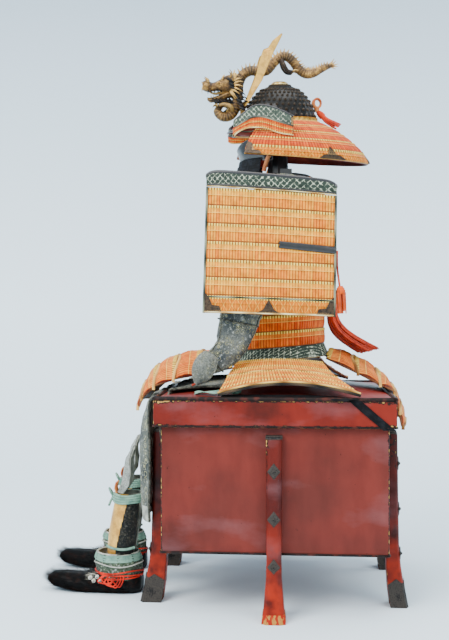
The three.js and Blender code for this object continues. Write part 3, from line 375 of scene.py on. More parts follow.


# Cords: the chin cords hang from the helmet's rim, each guard's cord from its strap plate, and the
# back bow's two tails from its knot. They are smooth tubes with the lay of the silk in their material,
# with painted shade darkening the lay's grooves.

def cord_silk(name, colour, dark, lay_mm):
    made, tree, shader, place = begin(name, 0.75, sheen=0.1)
    lay = add(tree, "ShaderNodeTexWave", {"Vector": place, "Scale": 1000 / lay_mm / 20, "Distortion": 1.5},
              bands_direction="DIAGONAL").outputs[1]
    # painted shade: the colour goes dark in the lay's grooves, where the bump of the same lay sinks
    tree.links.new(blend(tree, lay, dark, colour), shader.inputs["Base Color"])
    bump(tree, shader, lay, 0.6, 1.0)
    return made


ORANGE_SILK = cord_silk("orange_silk_cord", "#e08a4c", "#a8502a", 6)
CHIN_SILK = cord_silk("faded_chin_cord", "#e2935f", "#b8663c", 7)
RED_SILK = cord_silk("red_silk_cord", "#cc4a2c", "#8e2a18", 6)


def hanging_cord(name, route, diameter, material, nodes, far_end):
    """A cord: a tube along a smooth run through the route."""
    path = seat(curve_through(route, 30))
    points, faces = tube(path, diameter / 2, 12)
    obj = put(name, points, faces, material, nodes)
    length = float(np.linalg.norm(np.diff(path, axis=0), axis=1).sum()) / 1000
    return obj, path / 1000, length, diameter / 1000, far_end


for hand, side in HANDS:
    top = 1241 if side > 0 else 1263
    route = [(side * 91, -40, top), (side * 90, -32, 1215), (side * 86.8, -17, 1190), (side * 87, -20, 1162),
             (side * 84, -28, 1140), (side * 81, -34, 1119)]
    hanging_cord(f"chin_cord_bunch_{hand}", route, 11, CHIN_SILK,
                                 f"chin_cord_{hand}", "object")
    route = [(side * 276, 153.6, 893), (side * 276, 154, 850), (side * 277, 161.5, 794)]
    hanging_cord(f"guard_cord_{hand}", route, 5.2, RED_SILK,
                                 f"guard_tassel_{hand}", "knot")
    route = [(side * 4, 148.8, 926), (side * 17, 146.8, 870), (side * 25, 145.8, 800),
             (side * 27, 144.8, 768)]
    hanging_cord(f"bow_tail_{hand}", route, 9, RED_SILK, "back_bow", "knot")


# Laced walls: rows of small lacquered scales, hidden under vertical silk lacing.
# Each lame shows its gilt scale heads, a smooth salmon band, a thin pale line and the close lacing, with
# painted shade in the grooves between laces and between lames.

LACE_PITCH = 7.0  # mm from lace to lace
LAME_ROWS = (  # v within the lame, how far it stands out (mm), how deep the grooves between laces are (mm)
    (0.0, 0.2, 0.0), (0.012, 3.0, 0.8), (0.07, 3.7, 2.2), (0.145, 3.3, 1.6), (0.165, 2.2, 0.3),
             (0.39, 2.2, 0.2),
    (0.40, 2.9, 0.0), (0.445, 2.9, 0.0), (0.455, 1.9, 0.9), (0.55, 3.0, 1.5), (0.80, 2.4, 1.5),
             (0.93, 1.2, 1.0),
    (0.985, 0.2, 0.0),
)
LACE_COLUMNS = ((0.0, 1.0), (0.13, 0.25), (0.5, 0.0),
                (0.87, 0.25))  # place within a lace, share of the groove


def lacing(name, last_from=99.0, hues=("#f27e08", "#ff9e18", "#ffb830"), upper=("#ffa018", "#ffbe38")):
    """Laced-lame material. UV: x counts laces, y counts lames. From last_from down it is cross-knotted."""
    made, tree, shader, place = begin(name, 0.62, sheen=0.08)
    uv = add(tree, "ShaderNodeSeparateXYZ", {0: add(tree, "ShaderNodeTexCoord").outputs["UV"]})
    x, y = uv.outputs[0], uv.outputs[1]
    down = sums(tree, "FRACT", y)
    own = add(tree, "ShaderNodeTexWhiteNoise", {"W": sums(tree, "FLOOR", x)},
              noise_dimensions="1D").outputs[0]
    from_middle = off_middle(tree, x)
    # painted shade: each lace darkens from its middle toward its edges, into the grooves between laces; this
    # darkens the lacing, the salmon band and the knots
    lace_groove_shade = ramp(tree, from_middle, ((0.0, "#ffffff"), (0.66, "#ead6bf"), (1.0, "#9a5a2a")))
    fade = noise(tree, place, 90, 3)
    tone = sums(tree, "MULTIPLY_ADD", own, 0.45, times(tree, fade, 0.6))
    laced = blend(tree, 1.0, ramp(tree, tone, ((0.15, hues[0]), (0.5, hues[1]), (0.9, hues[2]))),
                  lace_groove_shade, "MULTIPLY")
    # the gilt scale heads, with a painted highlight along each head's middle and painted shade in the
    # notches between heads
    head = ramp(tree, from_middle, ((0.0, "#ffe06a"), (0.5, "#f4c246"), (0.72, "#8a4c16")))
    salmon = blend(tree, 0.8, ramp(tree, tone, ((0.2, upper[0]), (0.8, upper[1]))), lace_groove_shade, "MULTIPLY")
    colour = blend(tree, sums(tree, "GREATER_THAN", down, 0.155), head, salmon)
    colour = blend(tree, sums(tree, "GREATER_THAN", down, 0.395), colour, "#f7b94e")
    colour = blend(tree, sums(tree, "GREATER_THAN", down, 0.425), colour, laced)
    # a dark band at each lame's foot: painted shade in the groove where it meets the next lame
    colour = blend(tree, sums(tree, "GREATER_THAN", down, 0.925), colour, "#8a4a20")
    # the last lame: marigold cross-knots on a pale lattice, and a pale cord along the edge
    slant = off_middle(tree, times(tree, x, 0.34))
    rise = times(tree, sums(tree, "ABSOLUTE", sums(tree, "SUBTRACT", down, 0.52)), 2.3)
    apart = sums(tree, "ABSOLUTE", sums(tree, "SUBTRACT", slant, rise))
    knots = ramp(tree, apart, ((0.0, "#f0bc4c"), (0.06, "#e8a42c"), (0.11, "#d87402"), (1.0, "#e88a00")))
    knots = blend(tree, 0.6, knots, lace_groove_shade, "MULTIPLY")
    knots = blend(tree, sums(tree, "LESS_THAN", down, 0.2), knots, head)
    knots = blend(tree, sums(tree, "GREATER_THAN", down, 0.84), knots, "#c08a3c")
    colour = blend(tree, sums(tree, "GREATER_THAN", y, last_from), colour, knots)
    dust = noise(tree, place, 14, 6)
    colour = blend(tree, 0.45, colour, ramp(tree, dust, ((0.34, "#a08a6c"), (0.58, "#ffffff"))), "MULTIPLY")
    tree.links.new(colour, shader.inputs["Base Color"])
    braid = sums(tree, "SINE",
                 sums(tree, "MULTIPLY_ADD", y, 150.0, times(tree, from_middle, 4.0)))
    bump(tree, shader, braid, 0.35, 0.5)
    return made


def laced(name, at, ends, lames, wall, away, nodes, material, moved=seat):
    """A laced wall over at(u, v), v from 0 at its top to 1 at its foot. ends are its first and last u."""
    fine = np.linspace(ends[0], ends[1], 200)
    middle = at(fine[:, None], np.full((200, 1), 0.55))[:, 0]
    run = np.concatenate([[0], np.cumsum(np.linalg.norm(np.diff(middle, axis=0), axis=1))])
    laces = max(4, round(run[-1] / LACE_PITCH))
    places = [(k + part, groove) for k in range(laces) for part, groove in LACE_COLUMNS] + [(laces, 1.0)]
    counts = np.array([p[0] for p in places])
    us = np.interp(counts / laces * run[-1], run, fine)
    rows = [(k + v, out, deep) for k in range(lames) for v, out, deep in LAME_ROWS]
    vs = np.array([r[0] for r in rows])
    v, u = np.meshgrid(vs / lames, us, indexing="ij")
    out = np.array([r[1] for r in rows])[:, None] - np.outer([r[2] for r in rows], [p[1] for p in places])
    points = lift(at, u, v, wall + out, away)
    count, cols = u.shape
    faces = grid_faces(count, cols)
    kinds = [0] * len(faces)
    keep_rows = sorted(set(range(0, count, len(LAME_ROWS))) | {count - 1})
    keep_cols = sorted(set(range(0, cols, 8)) | {cols - 1})
    inner = at(u[np.ix_(keep_rows, keep_cols)], v[np.ix_(keep_rows, keep_cols)])
    start = count * cols
    faces += [tuple(reversed(f)) for f in grid_faces(len(keep_rows), len(keep_cols), start)]
    wide = len(keep_cols)
    for a, b in zip(range(wide - 1), range(1, wide)):
        for row, turned in ((0, False), (len(keep_rows) - 1, True)):
            line = [keep_rows[row] * cols + j for j in range(keep_cols[a], keep_cols[b] + 1)]
            back = [start + row * wide + b, start + row * wide + a]
            faces.append(tuple(line + back) if turned else tuple(reversed(line + back)))
    for a, b in zip(range(len(keep_rows) - 1), range(1, len(keep_rows))):
        for j, edge, turned in ((0, 0, True), (cols - 1, wide - 1, False)):
            line = [i * cols + j for i in range(keep_rows[a], keep_rows[b] + 1)]
            back = [start + b * wide + edge, start + a * wide + edge]
            faces.append(tuple(line + back) if not turned else tuple(reversed(line + back)))
    kinds += [1] * (len(faces) - len(kinds))
    grid = np.concatenate([points.reshape(-1, 3), inner.reshape(-1, 3)])
    coords = np.stack([np.broadcast_to(counts, u.shape).ravel(), v.ravel() * lames], axis=1)
    coords = np.concatenate([coords, np.zeros((inner.shape[0] * inner.shape[1], 2))])
    return put(name, moved(grid), facing(grid, faces), [material, LINING], nodes, kinds,
               coords)


LAME = {"pitch": 42.0, "wall": 4.0}
LINING = worn("red_lacquer_lining", "#5a1f18", "#7c2f22", 40, rough=0.35, edge="#8a5a3a")
LACING = lacing("orange_lacing", 99.0, ("#c83a04", "#ec6410", "#fb8a24"), ("#e86a12", "#f79432"))
DEEP_HUES, DEEP_UPPER = ("#b83600", "#da5200", "#f07200"), ("#d45200", "#f28210")
EDGED = {n: lacing(f"orange_lacing_{n}", n - 1.0) for n in (5, 7)}
BUCKLED_LACING = lacing("buckled_lacing", 99.0, ("#d8560a", "#f2801c", "#ff9e34"), ("#ee7c1a", "#f8a040"))
SKIRT_HEM = cord_silk("dark_hem_braid", "#4a3a2a", "#15110d", 7)
YELLOW_HEM = cord_silk("yellow_hem_braid", "#e2b45a", "#8a5a22", 6)
SEAM_CORD = cord_silk("straw_seam_cord", "#d9a95c", "#7c4c1e", 6)
NECK_LACING = lacing("neck_lacing", 4.0, DEEP_HUES, DEEP_UPPER)

# Cuirass: four laced panels, five waist lames all round with chest lames in front and behind.
# The panels meet at the corners, and the side ones stop below the arms.
TORSO = ((630, 151, 117), (700, 150, 114), (770, 156, 118), (850, 166, 124), (930, 172, 127),
         (1010, 170, 124),
         (1080, 160, 113))  # z, half width, half depth
TORSO_Y, WAIST, WAIST_TILT = 8.0, 650.0, 0.09


def torso(angle, z):
    """The cuirass's inner face; 0 degrees is the armour's left side, 90 its back."""
    c, s = np.cos(np.radians(angle)), np.sin(np.radians(angle))
    x = col(TORSO, 1, z) * np.sign(c) * np.abs(c) ** (2 / 2.4)
    y = col(TORSO, 2, z) * np.sign(s) * np.abs(s) ** (2 / 2.4)
    settled = np.clip((z - WAIST) / 300, 0, 1)
    return stack(x, TORSO_Y + y, z + WAIST_TILT * y * (1 - settled))


for part, start, end, lames in (("left", -40, 40, 5), ("back", 40, 140, 10), ("right", 140, 220, 5),
                                ("front", 220, 320, 8)):
    top = WAIST + lames * LAME["pitch"]
    laced(f"{part}_panel", lambda u, v: torso(u, top + (WAIST - top) * v), (start + 0.1, end - 0.1), lames,
          LAME["wall"], (0, TORSO_Y, top), f"cuirass_{part}", LACING)

# Tassets: four laced skirts hung from the hip leather, the front and back ones over the lid's edges.
# The side skirts arch at the hem under a dark braid. The other two buckle between corded seams.
SIDE_LINE = ((0, 186, 10, 618, 108, 8), (0.25, 232, 13, 596, 128, 12), (0.6, 285, 24, 577, 148, 15),
             (1, 341, 36, 558, 172, 19))  # s, x, y, z, half width, droop
FRONT_LINE = ((0, 125.6, 610, 98, 20, 12), (0.2, 204, 631, 112, 58, 0), (0.4, 270, 618, 118, 56, 4),
              (0.6, 324, 593, 124, 50, 6), (0.8, 356, 548, 130, 32, 8), (1, 369, 500, 134, 12, 10))
BACK_LINE = ((0, 140.2, 637, 98, 20, 12), (0.2, 206, 617, 112, 36, 0), (0.4, 266, 583, 118, 32, 0),
             (0.6, 304, 544, 124, 9, 3), (0.8, 325, 502, 130, 16, 12), (1, 339.8, 452, 134, 8, 18))


def side_skirt(side):
    return lambda u, v: stack(side * (col(SIDE_LINE, 1, v) - 14 * u * u),
                              col(SIDE_LINE, 2, v) + col(SIDE_LINE, 4, v) * u,
                              col(SIDE_LINE, 3, v) - col(SIDE_LINE, 5, v) * u * u)


def end_skirt(way, line):
    return lambda u, v: stack(col(line, 3, v) * u, way * (col(line, 1, v) - col(line, 5, v) * u * u),
                              col(line, 2, v) - col(line, 4, v) * np.abs(u) ** 2.2)


def arched(at, share):
    """The same panel with its hem drawn up in the middle."""
    return lambda u, v: at(u, v * (1 - share * (1 - u ** 2)))


def buckled(at, away, high):
    """The same panel with each lame puffed out between its seams."""
    def puffed(u, v):
        puff = high * np.abs(np.sin(5 * math.pi * v
                                    + 0.35 * np.sin(u * 4))) ** 0.8 * (0.85 + 0.15 * np.sin(u * 9 + v * 20))
        return at(u, v) + puff[..., None] * np.array(away)
    return puffed


for hand, side in HANDS:
    laced(f"{hand}_skirt", arched(side_skirt(side), 0.17), (-1, 1), 5, 4, (side * 230, 14, 400),
          f"tasset_{hand}", EDGED[5])
for hand, side in HANDS:
    panel = arched(side_skirt(side), 0.17)
    for part, v, high, r, material in (("hem", 1.0, 2.0, 3.6, SKIRT_HEM),
                                       ("hem_braid", 0.985, 7.0, 2.4, YELLOW_HEM),
                                       ("upper_braid", 0.4, 7.0, 1.8, YELLOW_HEM)):
        line = lift(panel, np.linspace(-1, 1, 80)[None, :], np.full((1, 80), v), np.full((1, 80), high),
                    (side * 230, 14, 400))[0]
        rope(f"{hand}_skirt_{part}", line, r, 8, material)
for name, way, line in (("front", -1, FRONT_LINE), ("back", 1, BACK_LINE)):
    panel = end_skirt(way, line)
    laced(f"{name}_skirt", buckled(panel, (0, way * 0.45, 0.9), 8), (-1, 1), 5, 4, (0, way * 200, 420),
          f"tasset_{name}", BUCKLED_LACING)
    for k in range(1, 6):
        us = np.linspace(-1, 1, 60)
        vs = np.clip(k / 5 - 0.35 * np.sin(us * 4) / (5 * math.pi), 0, 0.995)
        seam = lift(panel, us[None, :], vs[None, :], np.full((1, 60), 7.0), (0, way * 200, 420))[0]
        ends = [seam[0] + (0, 0, -8), *seam, seam[-1] + (0, 0, -8)]
        rope(f"{name}_skirt_seam_{k}", np.array(ends), 4.2, 8, SEAM_CORD)

# Shoulder guards: seven laced lames each, hung edge-on to the shoulder.
# They bow outward, and their last lame is cross-knotted.
GUARD = {"top": 1040, "bottom": 735, "front": -168, "back": 152, "x": 270, "bulge": 14, "lean": 12}


def guard(side):
    def at(u, v):
        bow = GUARD["bulge"] * (1 - (2 * u - 1) ** 2)
        slope = (25 - 15 * v) * (u - 0.5)
        front, back = GUARD["front"] - 8 * v, GUARD["back"] - 4 * v
        return stack(side * (GUARD["x"] + bow + GUARD["lean"] * v), front + (back - front) * u,
                     GUARD["top"] + (GUARD["bottom"] - GUARD["top"]) * v - slope)
    return at


for hand, side in HANDS:
    laced(f"{hand}_sode", guard(side), (0, 1), 7, 5, (0, 0, 900), f"shoulder_guard_{hand}", EDGED[7])

# Neck guard: five laced lames that flare from the bowl's rim.
# It rises toward the front, where the turn-backs take over.
NECK_LINE = ((0, 0, -4), (0.2, 34, -20), (0.4, 66, -40), (0.6, 95, -63), (0.8, 120, -89),
             (1, 135, -118))  # v, out, z
NECK_SMOOTH = smooth_table(NECK_LINE, 60)
UNDER_NECK = (0, 0, -400)  # a point inside the flare
BROW = 7.1  # mm from the bowl's half sizes to the pieces hung round its foot


def neck(angle, v):
    out, z = col(NECK_SMOOTH, 1, v), col(NECK_SMOOTH, 2, v)
    forward = (1 - np.cos(np.radians(angle))) / 2
    return stack((BOWL["halfX"] + BROW + out * 0.66) * np.sin(np.radians(angle)),
                 (BOWL["halfY"] + BROW + out) * np.cos(np.radians(angle)), z + 36 * forward * v)


laced("shikoro", neck, (-117, 117), 5, 3.5, UNDER_NECK, "neck_guard", NECK_LACING, moved=helmet)


# Scattered parts: one Geometry Nodes group sets a small part on every point, turned along "way".
# Studs, fur and tufts use it, each with its own size, spread of sizes and seed.

def scatter_group():
    group = bpy.data.node_groups.new("scatter", "GeometryNodeTree")
    kinds = (("Geometry", "Geometry"), ("Part", "Object"), ("Size", "Float"), ("Uneven", "Float"),
             ("Seed", "Int"), ("Material", "Material"))
    sockets = {n: group.interface.new_socket(n, in_out="INPUT", socket_type="NodeSocket" + k) for n,
               k in kinds}
    group.interface.new_socket("Geometry", in_out="OUTPUT", socket_type="NodeSocketGeometry")
    given = add(group, "NodeGroupInput").outputs
    part = add(group, "GeometryNodeObjectInfo", {"Object": given["Part"]}).outputs["Geometry"]
    way = add(group, "GeometryNodeInputNamedAttribute", {"Name": "way"}, data_type="FLOAT_VECTOR").outputs[0]
    turn = add(group, "FunctionNodeAlignRotationToVector", {"Vector": way}, axis="Z").outputs[0]
    least = sums(group, "SUBTRACT", 1.0, given["Uneven"])
    chance = add(group, "FunctionNodeRandomValue", {"Seed": given["Seed"]}, data_type="FLOAT")
    group.links.new(least, chance.inputs[2])
    size = sums(group, "MULTIPLY", chance.outputs[1], given["Size"])
    spread = add(group, "GeometryNodeInstanceOnPoints",
                 {"Points": given["Geometry"], "Instance": part, "Rotation": turn, "Scale": size}).outputs[0]
    real = add(group, "GeometryNodeRealizeInstances", {0: spread}).outputs[0]
    done = add(group, "GeometryNodeSetMaterial",
               {"Geometry": real, "Material": given["Material"]}).outputs[0]
    add(group, "NodeGroupOutput", {0: done})
    return group, {name: socket.identifier for name, socket in sockets.items()}


SCATTER, SCATTER_KEYS = scatter_group()


def scattered(name, places, ways, part, material, size=1.0, uneven=0.0, seed=1):
    """Copies of part (points in mm, faces; it stands along +Z) at places in the row frame, mm."""
    hold = bpy.data.meshes.new(name + "_part")
    hold.from_pydata((np.asarray(part[0]) / 1000).tolist(), [], part[1])
    hold.polygons.foreach_set("use_smooth", [True] * len(hold.polygons))
    template = bpy.data.objects.new(name + "_part", hold)
    cloud = bpy.data.meshes.new(name + "_points")
    cloud.from_pydata((np.asarray(places, dtype=float) / 1000).tolist(), [], [])
    field = cloud.attributes.new("way", "FLOAT_VECTOR", "POINT")
    field.data.foreach_set("vector", np.asarray(ways, dtype=float).ravel())
    source = bpy.data.objects.new(name + "_points", cloud)
    for obj in (template, source):
        bpy.context.scene.collection.objects.link(obj)
    change = source.modifiers.new("scatter", "NODES")
    change.node_group = SCATTER
    for key, value in (("Part", template), ("Size", size), ("Uneven", uneven), ("Seed", seed),
                       ("Material", material)):
        change[SCATTER_KEYS[key]] = value
    graph = bpy.context.evaluated_depsgraph_get()
    mesh = bpy.data.meshes.new_from_object(source.evaluated_get(graph))
    mesh.name = name
    for obj in (template, source):
        bpy.data.objects.remove(obj)
    return keep(bpy.data.objects.new(name, mesh))


def dome(radius, height, sides=8, rings=3):
    """A stud: a low dome that stands along +Z."""
    rows = [[(radius * math.cos(t) * math.cos(2 * math.pi * k / sides),
              radius * math.cos(t) * math.sin(2 * math.pi * k / sides),
              height * math.sin(t)) for k in range(sides)]
            for t in np.linspace(-0.3, math.pi / 2 - 0.25, rings)]
    points = [p for row in rows for p in row]
    faces = grid_faces(rings, sides, 0, True) + [tuple(range((rings - 1) * sides, rings * sides))]
    return np.array(points), facing(points, faces)


def bevelled(node, name, width, material, segments):
    """A CAD node's own shape with its sharp edges rounded by width mm."""
    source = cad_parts[node]
    form = bmesh.new()
    form.from_mesh(source.data)
    form.transform(source.matrix_world)
    bmesh.ops.remove_doubles(form, verts=form.verts, dist=1e-5)
    bmesh.ops.dissolve_limit(form, angle_limit=math.radians(1), verts=form.verts, edges=form.edges)
    sharp = [e for e in form.edges if len(e.link_faces) == 2 and e.calc_face_angle(0) > math.radians(25)]
    bmesh.ops.bevel(form, geom=sharp, offset=width / 1000, segments=segments, affect="EDGES", profile=0.5,
                    clamp_overlap=True)
    mesh = bpy.data.meshes.new(name)
    form.to_mesh(mesh)
    form.free()
    mesh.polygons.foreach_set("use_smooth", [True] * len(mesh.polygons))
    mesh.set_sharp_from_angle(angle=math.radians(32))
    mesh.materials.append(material)
    return keep(bpy.data.objects.new(name, mesh), node)


# Chest: softwood boards under worn red lacquer, with a cap-over lid and black iron on six legs.
# The edges are chipped dark, and the legs turn redder toward the foot.

CHEST = {"halfX": 310.0, "halfY": 278.0, "bottom": 150.0, "top": 520.0}
LID = {"overhang": 17.0, "bottom": 461.0, "edge": 530.0, "crown": 34.0, "board": 16.0}
LID_X, LID_Y = CHEST["halfX"] + LID["overhang"], CHEST["halfY"] + LID["overhang"]


def lid_top(x, y):
    return LID["edge"] + LID["crown"] * (1 - (x / LID_X) ** 2) * (1 - (y / LID_Y) ** 2)


def lacquer(name, red, deep, stain, stain_low, box=None):
    """Old red lacquer: cloudy red, dark stains, chips to black and gold-brown at the edges."""
    made, tree, shader, place = begin(name, 0.42)
    cloud = noise(tree, place, 160, 6)
    colours = ramp(tree, cloud, ((0.35, deep), (0.6, red)))
    stains = noise(tree, place, 240, 7, (1.0, 1.0, 0.6))
    colours = blend(tree, ramp(tree, stains, rising(stain_low, stain_low + 0.13)), colours, stain)
    scratch = noise(tree, place, 30, 8, (1.0, 1.0, 0.35))
    colours = blend(tree, 0.2, colours, ramp(tree, scratch, ((0.32, "#7a6a64"), (0.6, "#ffffff"))),
                    "MULTIPLY")
    haze = noise(tree, place, 190, 5, (1.0, 1.0, 2.2))
    colours = blend(tree, times(tree, ramp(tree, haze, rising(0.5, 0.72)), 0.35), colours, "#8a5f62")
    chips = noise(tree, place, 9, 8)
    if box:
        axes = add(tree, "ShaderNodeSeparateXYZ", {0: place}).outputs
        a = sums(tree, "SUBTRACT", box[0] / 1000, sums(tree, "ABSOLUTE", axes[0]))
        b = sums(tree, "SUBTRACT", box[1] / 1000,
                 sums(tree, "ABSOLUTE", sums(tree, "SUBTRACT", axes[1], CHEST_Y / 1000)))
        c = sums(tree, "SUBTRACT", axes[2], box[2] / 1000)
        second = sums(tree, "MAXIMUM", sums(tree, "MINIMUM", a, b),
                      sums(tree, "MINIMUM", sums(tree, "MAXIMUM", a, b), c))
        edge = ramp(tree, times(tree, second, 100.0), ((0.1, "#ffffff"), (0.8, "#000000")))
    else:
        sharp = add(tree, "ShaderNodeNewGeometry").outputs["Pointiness"]
        edge = ramp(tree, sharp, rising(0.505, 0.54))
    rubbed = times(tree, edge, chips)
    colours = blend(tree, ramp(tree, rubbed, rising(0.36, 0.44)), colours, "#1d1411")
    colours = blend(tree, ramp(tree, rubbed, rising(0.52, 0.56)), colours, "#b98a48")
    flakes = ramp(tree, chips, rising(0.71, 0.74))
    colours = blend(tree, flakes, colours, "#3a1610")
    tree.links.new(colours, shader.inputs["Base Color"])
    tree.links.new(sums(tree, "MULTIPLY_ADD", cloud, 0.35, 0.25), shader.inputs["Roughness"])
    bump(tree, shader, scratch, 0.35, 0.8)
    return made


def reopened(material):
    """A finished material's tree, its colour so far, the colour's input and Object coordinates."""
    tree = material.node_tree
    target = next(n for n in tree.nodes if n.type == "BSDF_PRINCIPLED").inputs["Base Color"]
    return tree, target.links[0].from_socket, target, add(tree, "ShaderNodeTexCoord").outputs["Object"]


def stained(material, colour, y_mm, z_mm, wide_mm, high_mm):
    """A dark cloudy stain centred on a place of the side wall."""
    tree, before, target, place = reopened(material)
    axes = add(tree, "ShaderNodeSeparateXYZ", {0: place}).outputs
    a, b = (sums(tree, "DIVIDE", sums(tree, "SUBTRACT", axes[k], at / 1000), size / 1000)
            for k, at, size in ((1, y_mm, wide_mm), (2, z_mm, high_mm)))
    far = sums(tree, "ADD", times(tree, a, a), times(tree, b, b))
    far = sums(tree, "ADD", far, times(tree, noise(tree, place, 40, 7), 1.2))
    share = ramp(tree, times(tree, far, 0.5), ((0.28, "#d0d0d0"), (0.7, "#000000")))
    tree.links.new(blend(tree, share, before, colour), target)
    return material


def downward(material, colour, top_mm, foot_mm):
    """Warms a lacquer toward its foot: from top_mm down to foot_mm it turns toward colour, in patches."""
    tree, before, target, place = reopened(material)
    height = add(tree, "ShaderNodeSeparateXYZ", {0: place}).outputs[2]
    share = sums(tree, "DIVIDE", sums(tree, "SUBTRACT", top_mm / 1000, height), (top_mm - foot_mm) / 1000)
    share = times(tree, ramp(tree, share, rising(0.0, 1.0)),
                 ramp(tree, noise(tree, place, 40, 6), ((0.35, "#606060"), (0.6, "#ffffff"))))
    tree.links.new(blend(tree, times(tree, share, 0.85), before, colour), target)
    return material


RED_BODY = lacquer("red_lacquer_body", "#702a22", "#5c251e", "#3c1a16", 0.55,
                   (CHEST["halfX"], CHEST["halfY"], CHEST["bottom"]))
RED_LID = stained(lacquer("red_lacquer_lid", "#7c2216", "#611a12", "#2a110d", 0.53), "#2a120d",
                  CHEST_Y - 26, 508, 75, 42)
RED_LEG = downward(lacquer("red_lacquer_leg", "#5e1a12", "#3c120f", "#1c0e0c", 0.5), "#9c250c", 300, 70)
DARK_EDGE = worn("dark_edge_lacquer", "#1b110e", "#4a2018", 22, 0.5, 0.62, rough=0.5)
IRON = worn("black_iron", "#0e0d10", "#1d1a19", 12, rough=0.6, edge="#3a342f")
WORN_WOOD = worn("worn_leg_tip", "#a8220f", "#b9813a", 16, 0.5, 0.56, rough=0.7, stretch=(2.5, 2.5, 0.8))
STAND_WOOD = worn("stand_black_wood", "#141210", "#241e1a", 40, rough=0.4, coat=0.3)

bevelled("chest_body", "chest_boards", 2.5, RED_BODY, 3)


def frame_ring(half_x, half_y, corner, z):
    """Points round a rectangle with small round corners; z may be a function of x and y."""
    points = []
    for i, (sx, sy) in enumerate(((1, 1), (-1, 1), (-1, -1), (1, -1))):
        for k in range(4):
            a = math.pi / 2 * (i + k / 4)
            points.append((sx * (half_x - corner) + corner * math.cos(a),
                           sy * (half_y - corner) + corner * math.sin(a)))
        x0 = sx * (half_x - corner) + corner * math.cos(math.pi / 2 * (i + 1))
        y0 = sy * (half_y - corner) + corner * math.sin(math.pi / 2 * (i + 1))
        nx, ny = ((-1, 1), (-1, -1), (1, -1), (1, 1))[i]
        x1 = nx * (half_x - corner) + corner * math.cos(math.pi / 2 * (i + 1))
        y1 = ny * (half_y - corner) + corner * math.sin(math.pi / 2 * (i + 1))
        points += [(x0 + (x1 - x0) * k / 14, y0 + (y1 - y0) * k / 14) for k in range(14)]
    return [(x, y, z(x, y) if callable(z) else z) for x, y in points]


def lid():
    """The lid: an inner ledge, straight sides and a gently domed top, one grid of rings."""
    bottom, edge, board = LID["bottom"], LID["edge"], LID["board"]
    rings = [frame_ring(LID_X - board, LID_Y - board, 1, edge - 11),
             frame_ring(LID_X - board, LID_Y - board, 1, bottom)]
    rings += [frame_ring(LID_X - 1.5, LID_Y - 1.5, 2, bottom), frame_ring(LID_X, LID_Y, 2, bottom + 1.5)]
    rings += [frame_ring(LID_X, LID_Y, 2, z) for z in np.linspace(bottom + 12, edge - 4, 6)]
    rings += [frame_ring(LID_X - 3, LID_Y - 3, 3, lid_top)]
    rings += [frame_ring(LID_X * s - 3, LID_Y * s - 3, 3, lid_top) for s in np.linspace(0.94, 0.08, 12)]
    count = len(rings[0])
    faces = grid_faces(len(rings), count, 0, True)
    faces.append(tuple(range((len(rings) - 1) * count, len(rings) * count)))
    points = np.array([p for r in rings for p in r])
    faces.append(tuple(reversed(range(count))))
    cap = put("chest_cap_lid", seat(points), facing(points, faces), RED_LID, "chest_lid")
    cap.data.set_sharp_from_angle(angle=math.radians(30))


lid()
for name, half_x, half_y, z, r in (("lid_top_moulding", LID_X - 1.5, LID_Y - 1.5, LID["edge"] + 1, 5.5),
                                   ("lid_foot_edge", LID_X + 0.5, LID_Y + 0.5, LID["bottom"] + 3, 2.6),
                                   ("body_foot_edge", CHEST["halfX"] + 0.5, CHEST["halfY"] + 0.5,
                                    CHEST["bottom"] + 3, 3)):
    loop = np.array(frame_ring(half_x, half_y, 3, z))
    rope(name, np.concatenate([loop, loop[:1]]), r, 8, DARK_EDGE)

LEG_PROFILE = ((441, 18.5, 0.5, 30), (432, 19.5, 0.5, 35), (300, 18.5, 0.5, 37), (150, 18, 0.5, 40),
               (100, 19, 1.5, 45),
               (45, 23.5, 6, 55), (0, 28, 13, 65))  # z, half width, back, reach
LEGS = {"side_left": (1, 0, 1), "side_right": (-1, 0, 1)}
for end, sign, splay in (("front", -1, 1.04), ("back", 1, 0.86)):
    for hand, x in (("left", 185), ("right", -185)):
        LEGS[f"{end}_{hand}"] = (sign, x, splay)


def on_leg(which, across, out, z):
    """A point on a leg: across it, out from the chest's wall, at height z."""
    sign, x, splay = LEGS[which]
    if which.startswith("side"):
        return (sign * (CHEST["halfX"] + out), across, z)
    return (x + across, sign * (CHEST["halfY"] + splay * out), z)


diamonds, ways = [], []
for which in LEGS:
    bevelled(f"chest_leg_{which}", f"leg_{which}", 2.5, RED_LEG, 3)
    for part, low, high, grow, material in (("cap", 436, 443, 1.6, IRON),
                                            ("tip", 0, 22 if "side" in which else 56, 1.2,
                                             WORN_WOOD if "side" in which else IRON)):
        rings = []
        for z in np.linspace(high, low, 5):
            half, back, reach = (float(col(LEG_PROFILE, k, min(z, 441))) for k in (1, 2, 3))
            half, reach, mid = half + grow, reach + grow, (back + reach) / 2
            arch = 15 if z == high and high > 40 and part == "tip" else 0
            shape = ((-half, back, 0), (half, back, 0), (half, mid, 1), (half, reach - 7, 0.2),
                     (half * 0.6, reach, 0.2),
                     (0, reach, 1), (-half * 0.6, reach, 0.2), (-half, reach - 7, 0.2), (-half, mid, 1))
            rings.append([on_leg(which, s, o, z + arch * up) for s, o, up in shape])
        points = [p for r in rings for p in r]
        faces = grid_faces(5, 9, 0, True) + [tuple(range(9)), tuple(reversed(range(36, 45)))]
        put(f"leg_{part}_{which}", seat(points), facing(points, faces), material,
            smooth=False)
    for z in (359, 244, 131):
        diamonds.append(on_leg(which, 0, float(col(LEG_PROFILE, 3, z)), z))
        ways.append(np.array(on_leg(which, 0, 1, 0)) - np.array(on_leg(which, 0, 0, 0)))
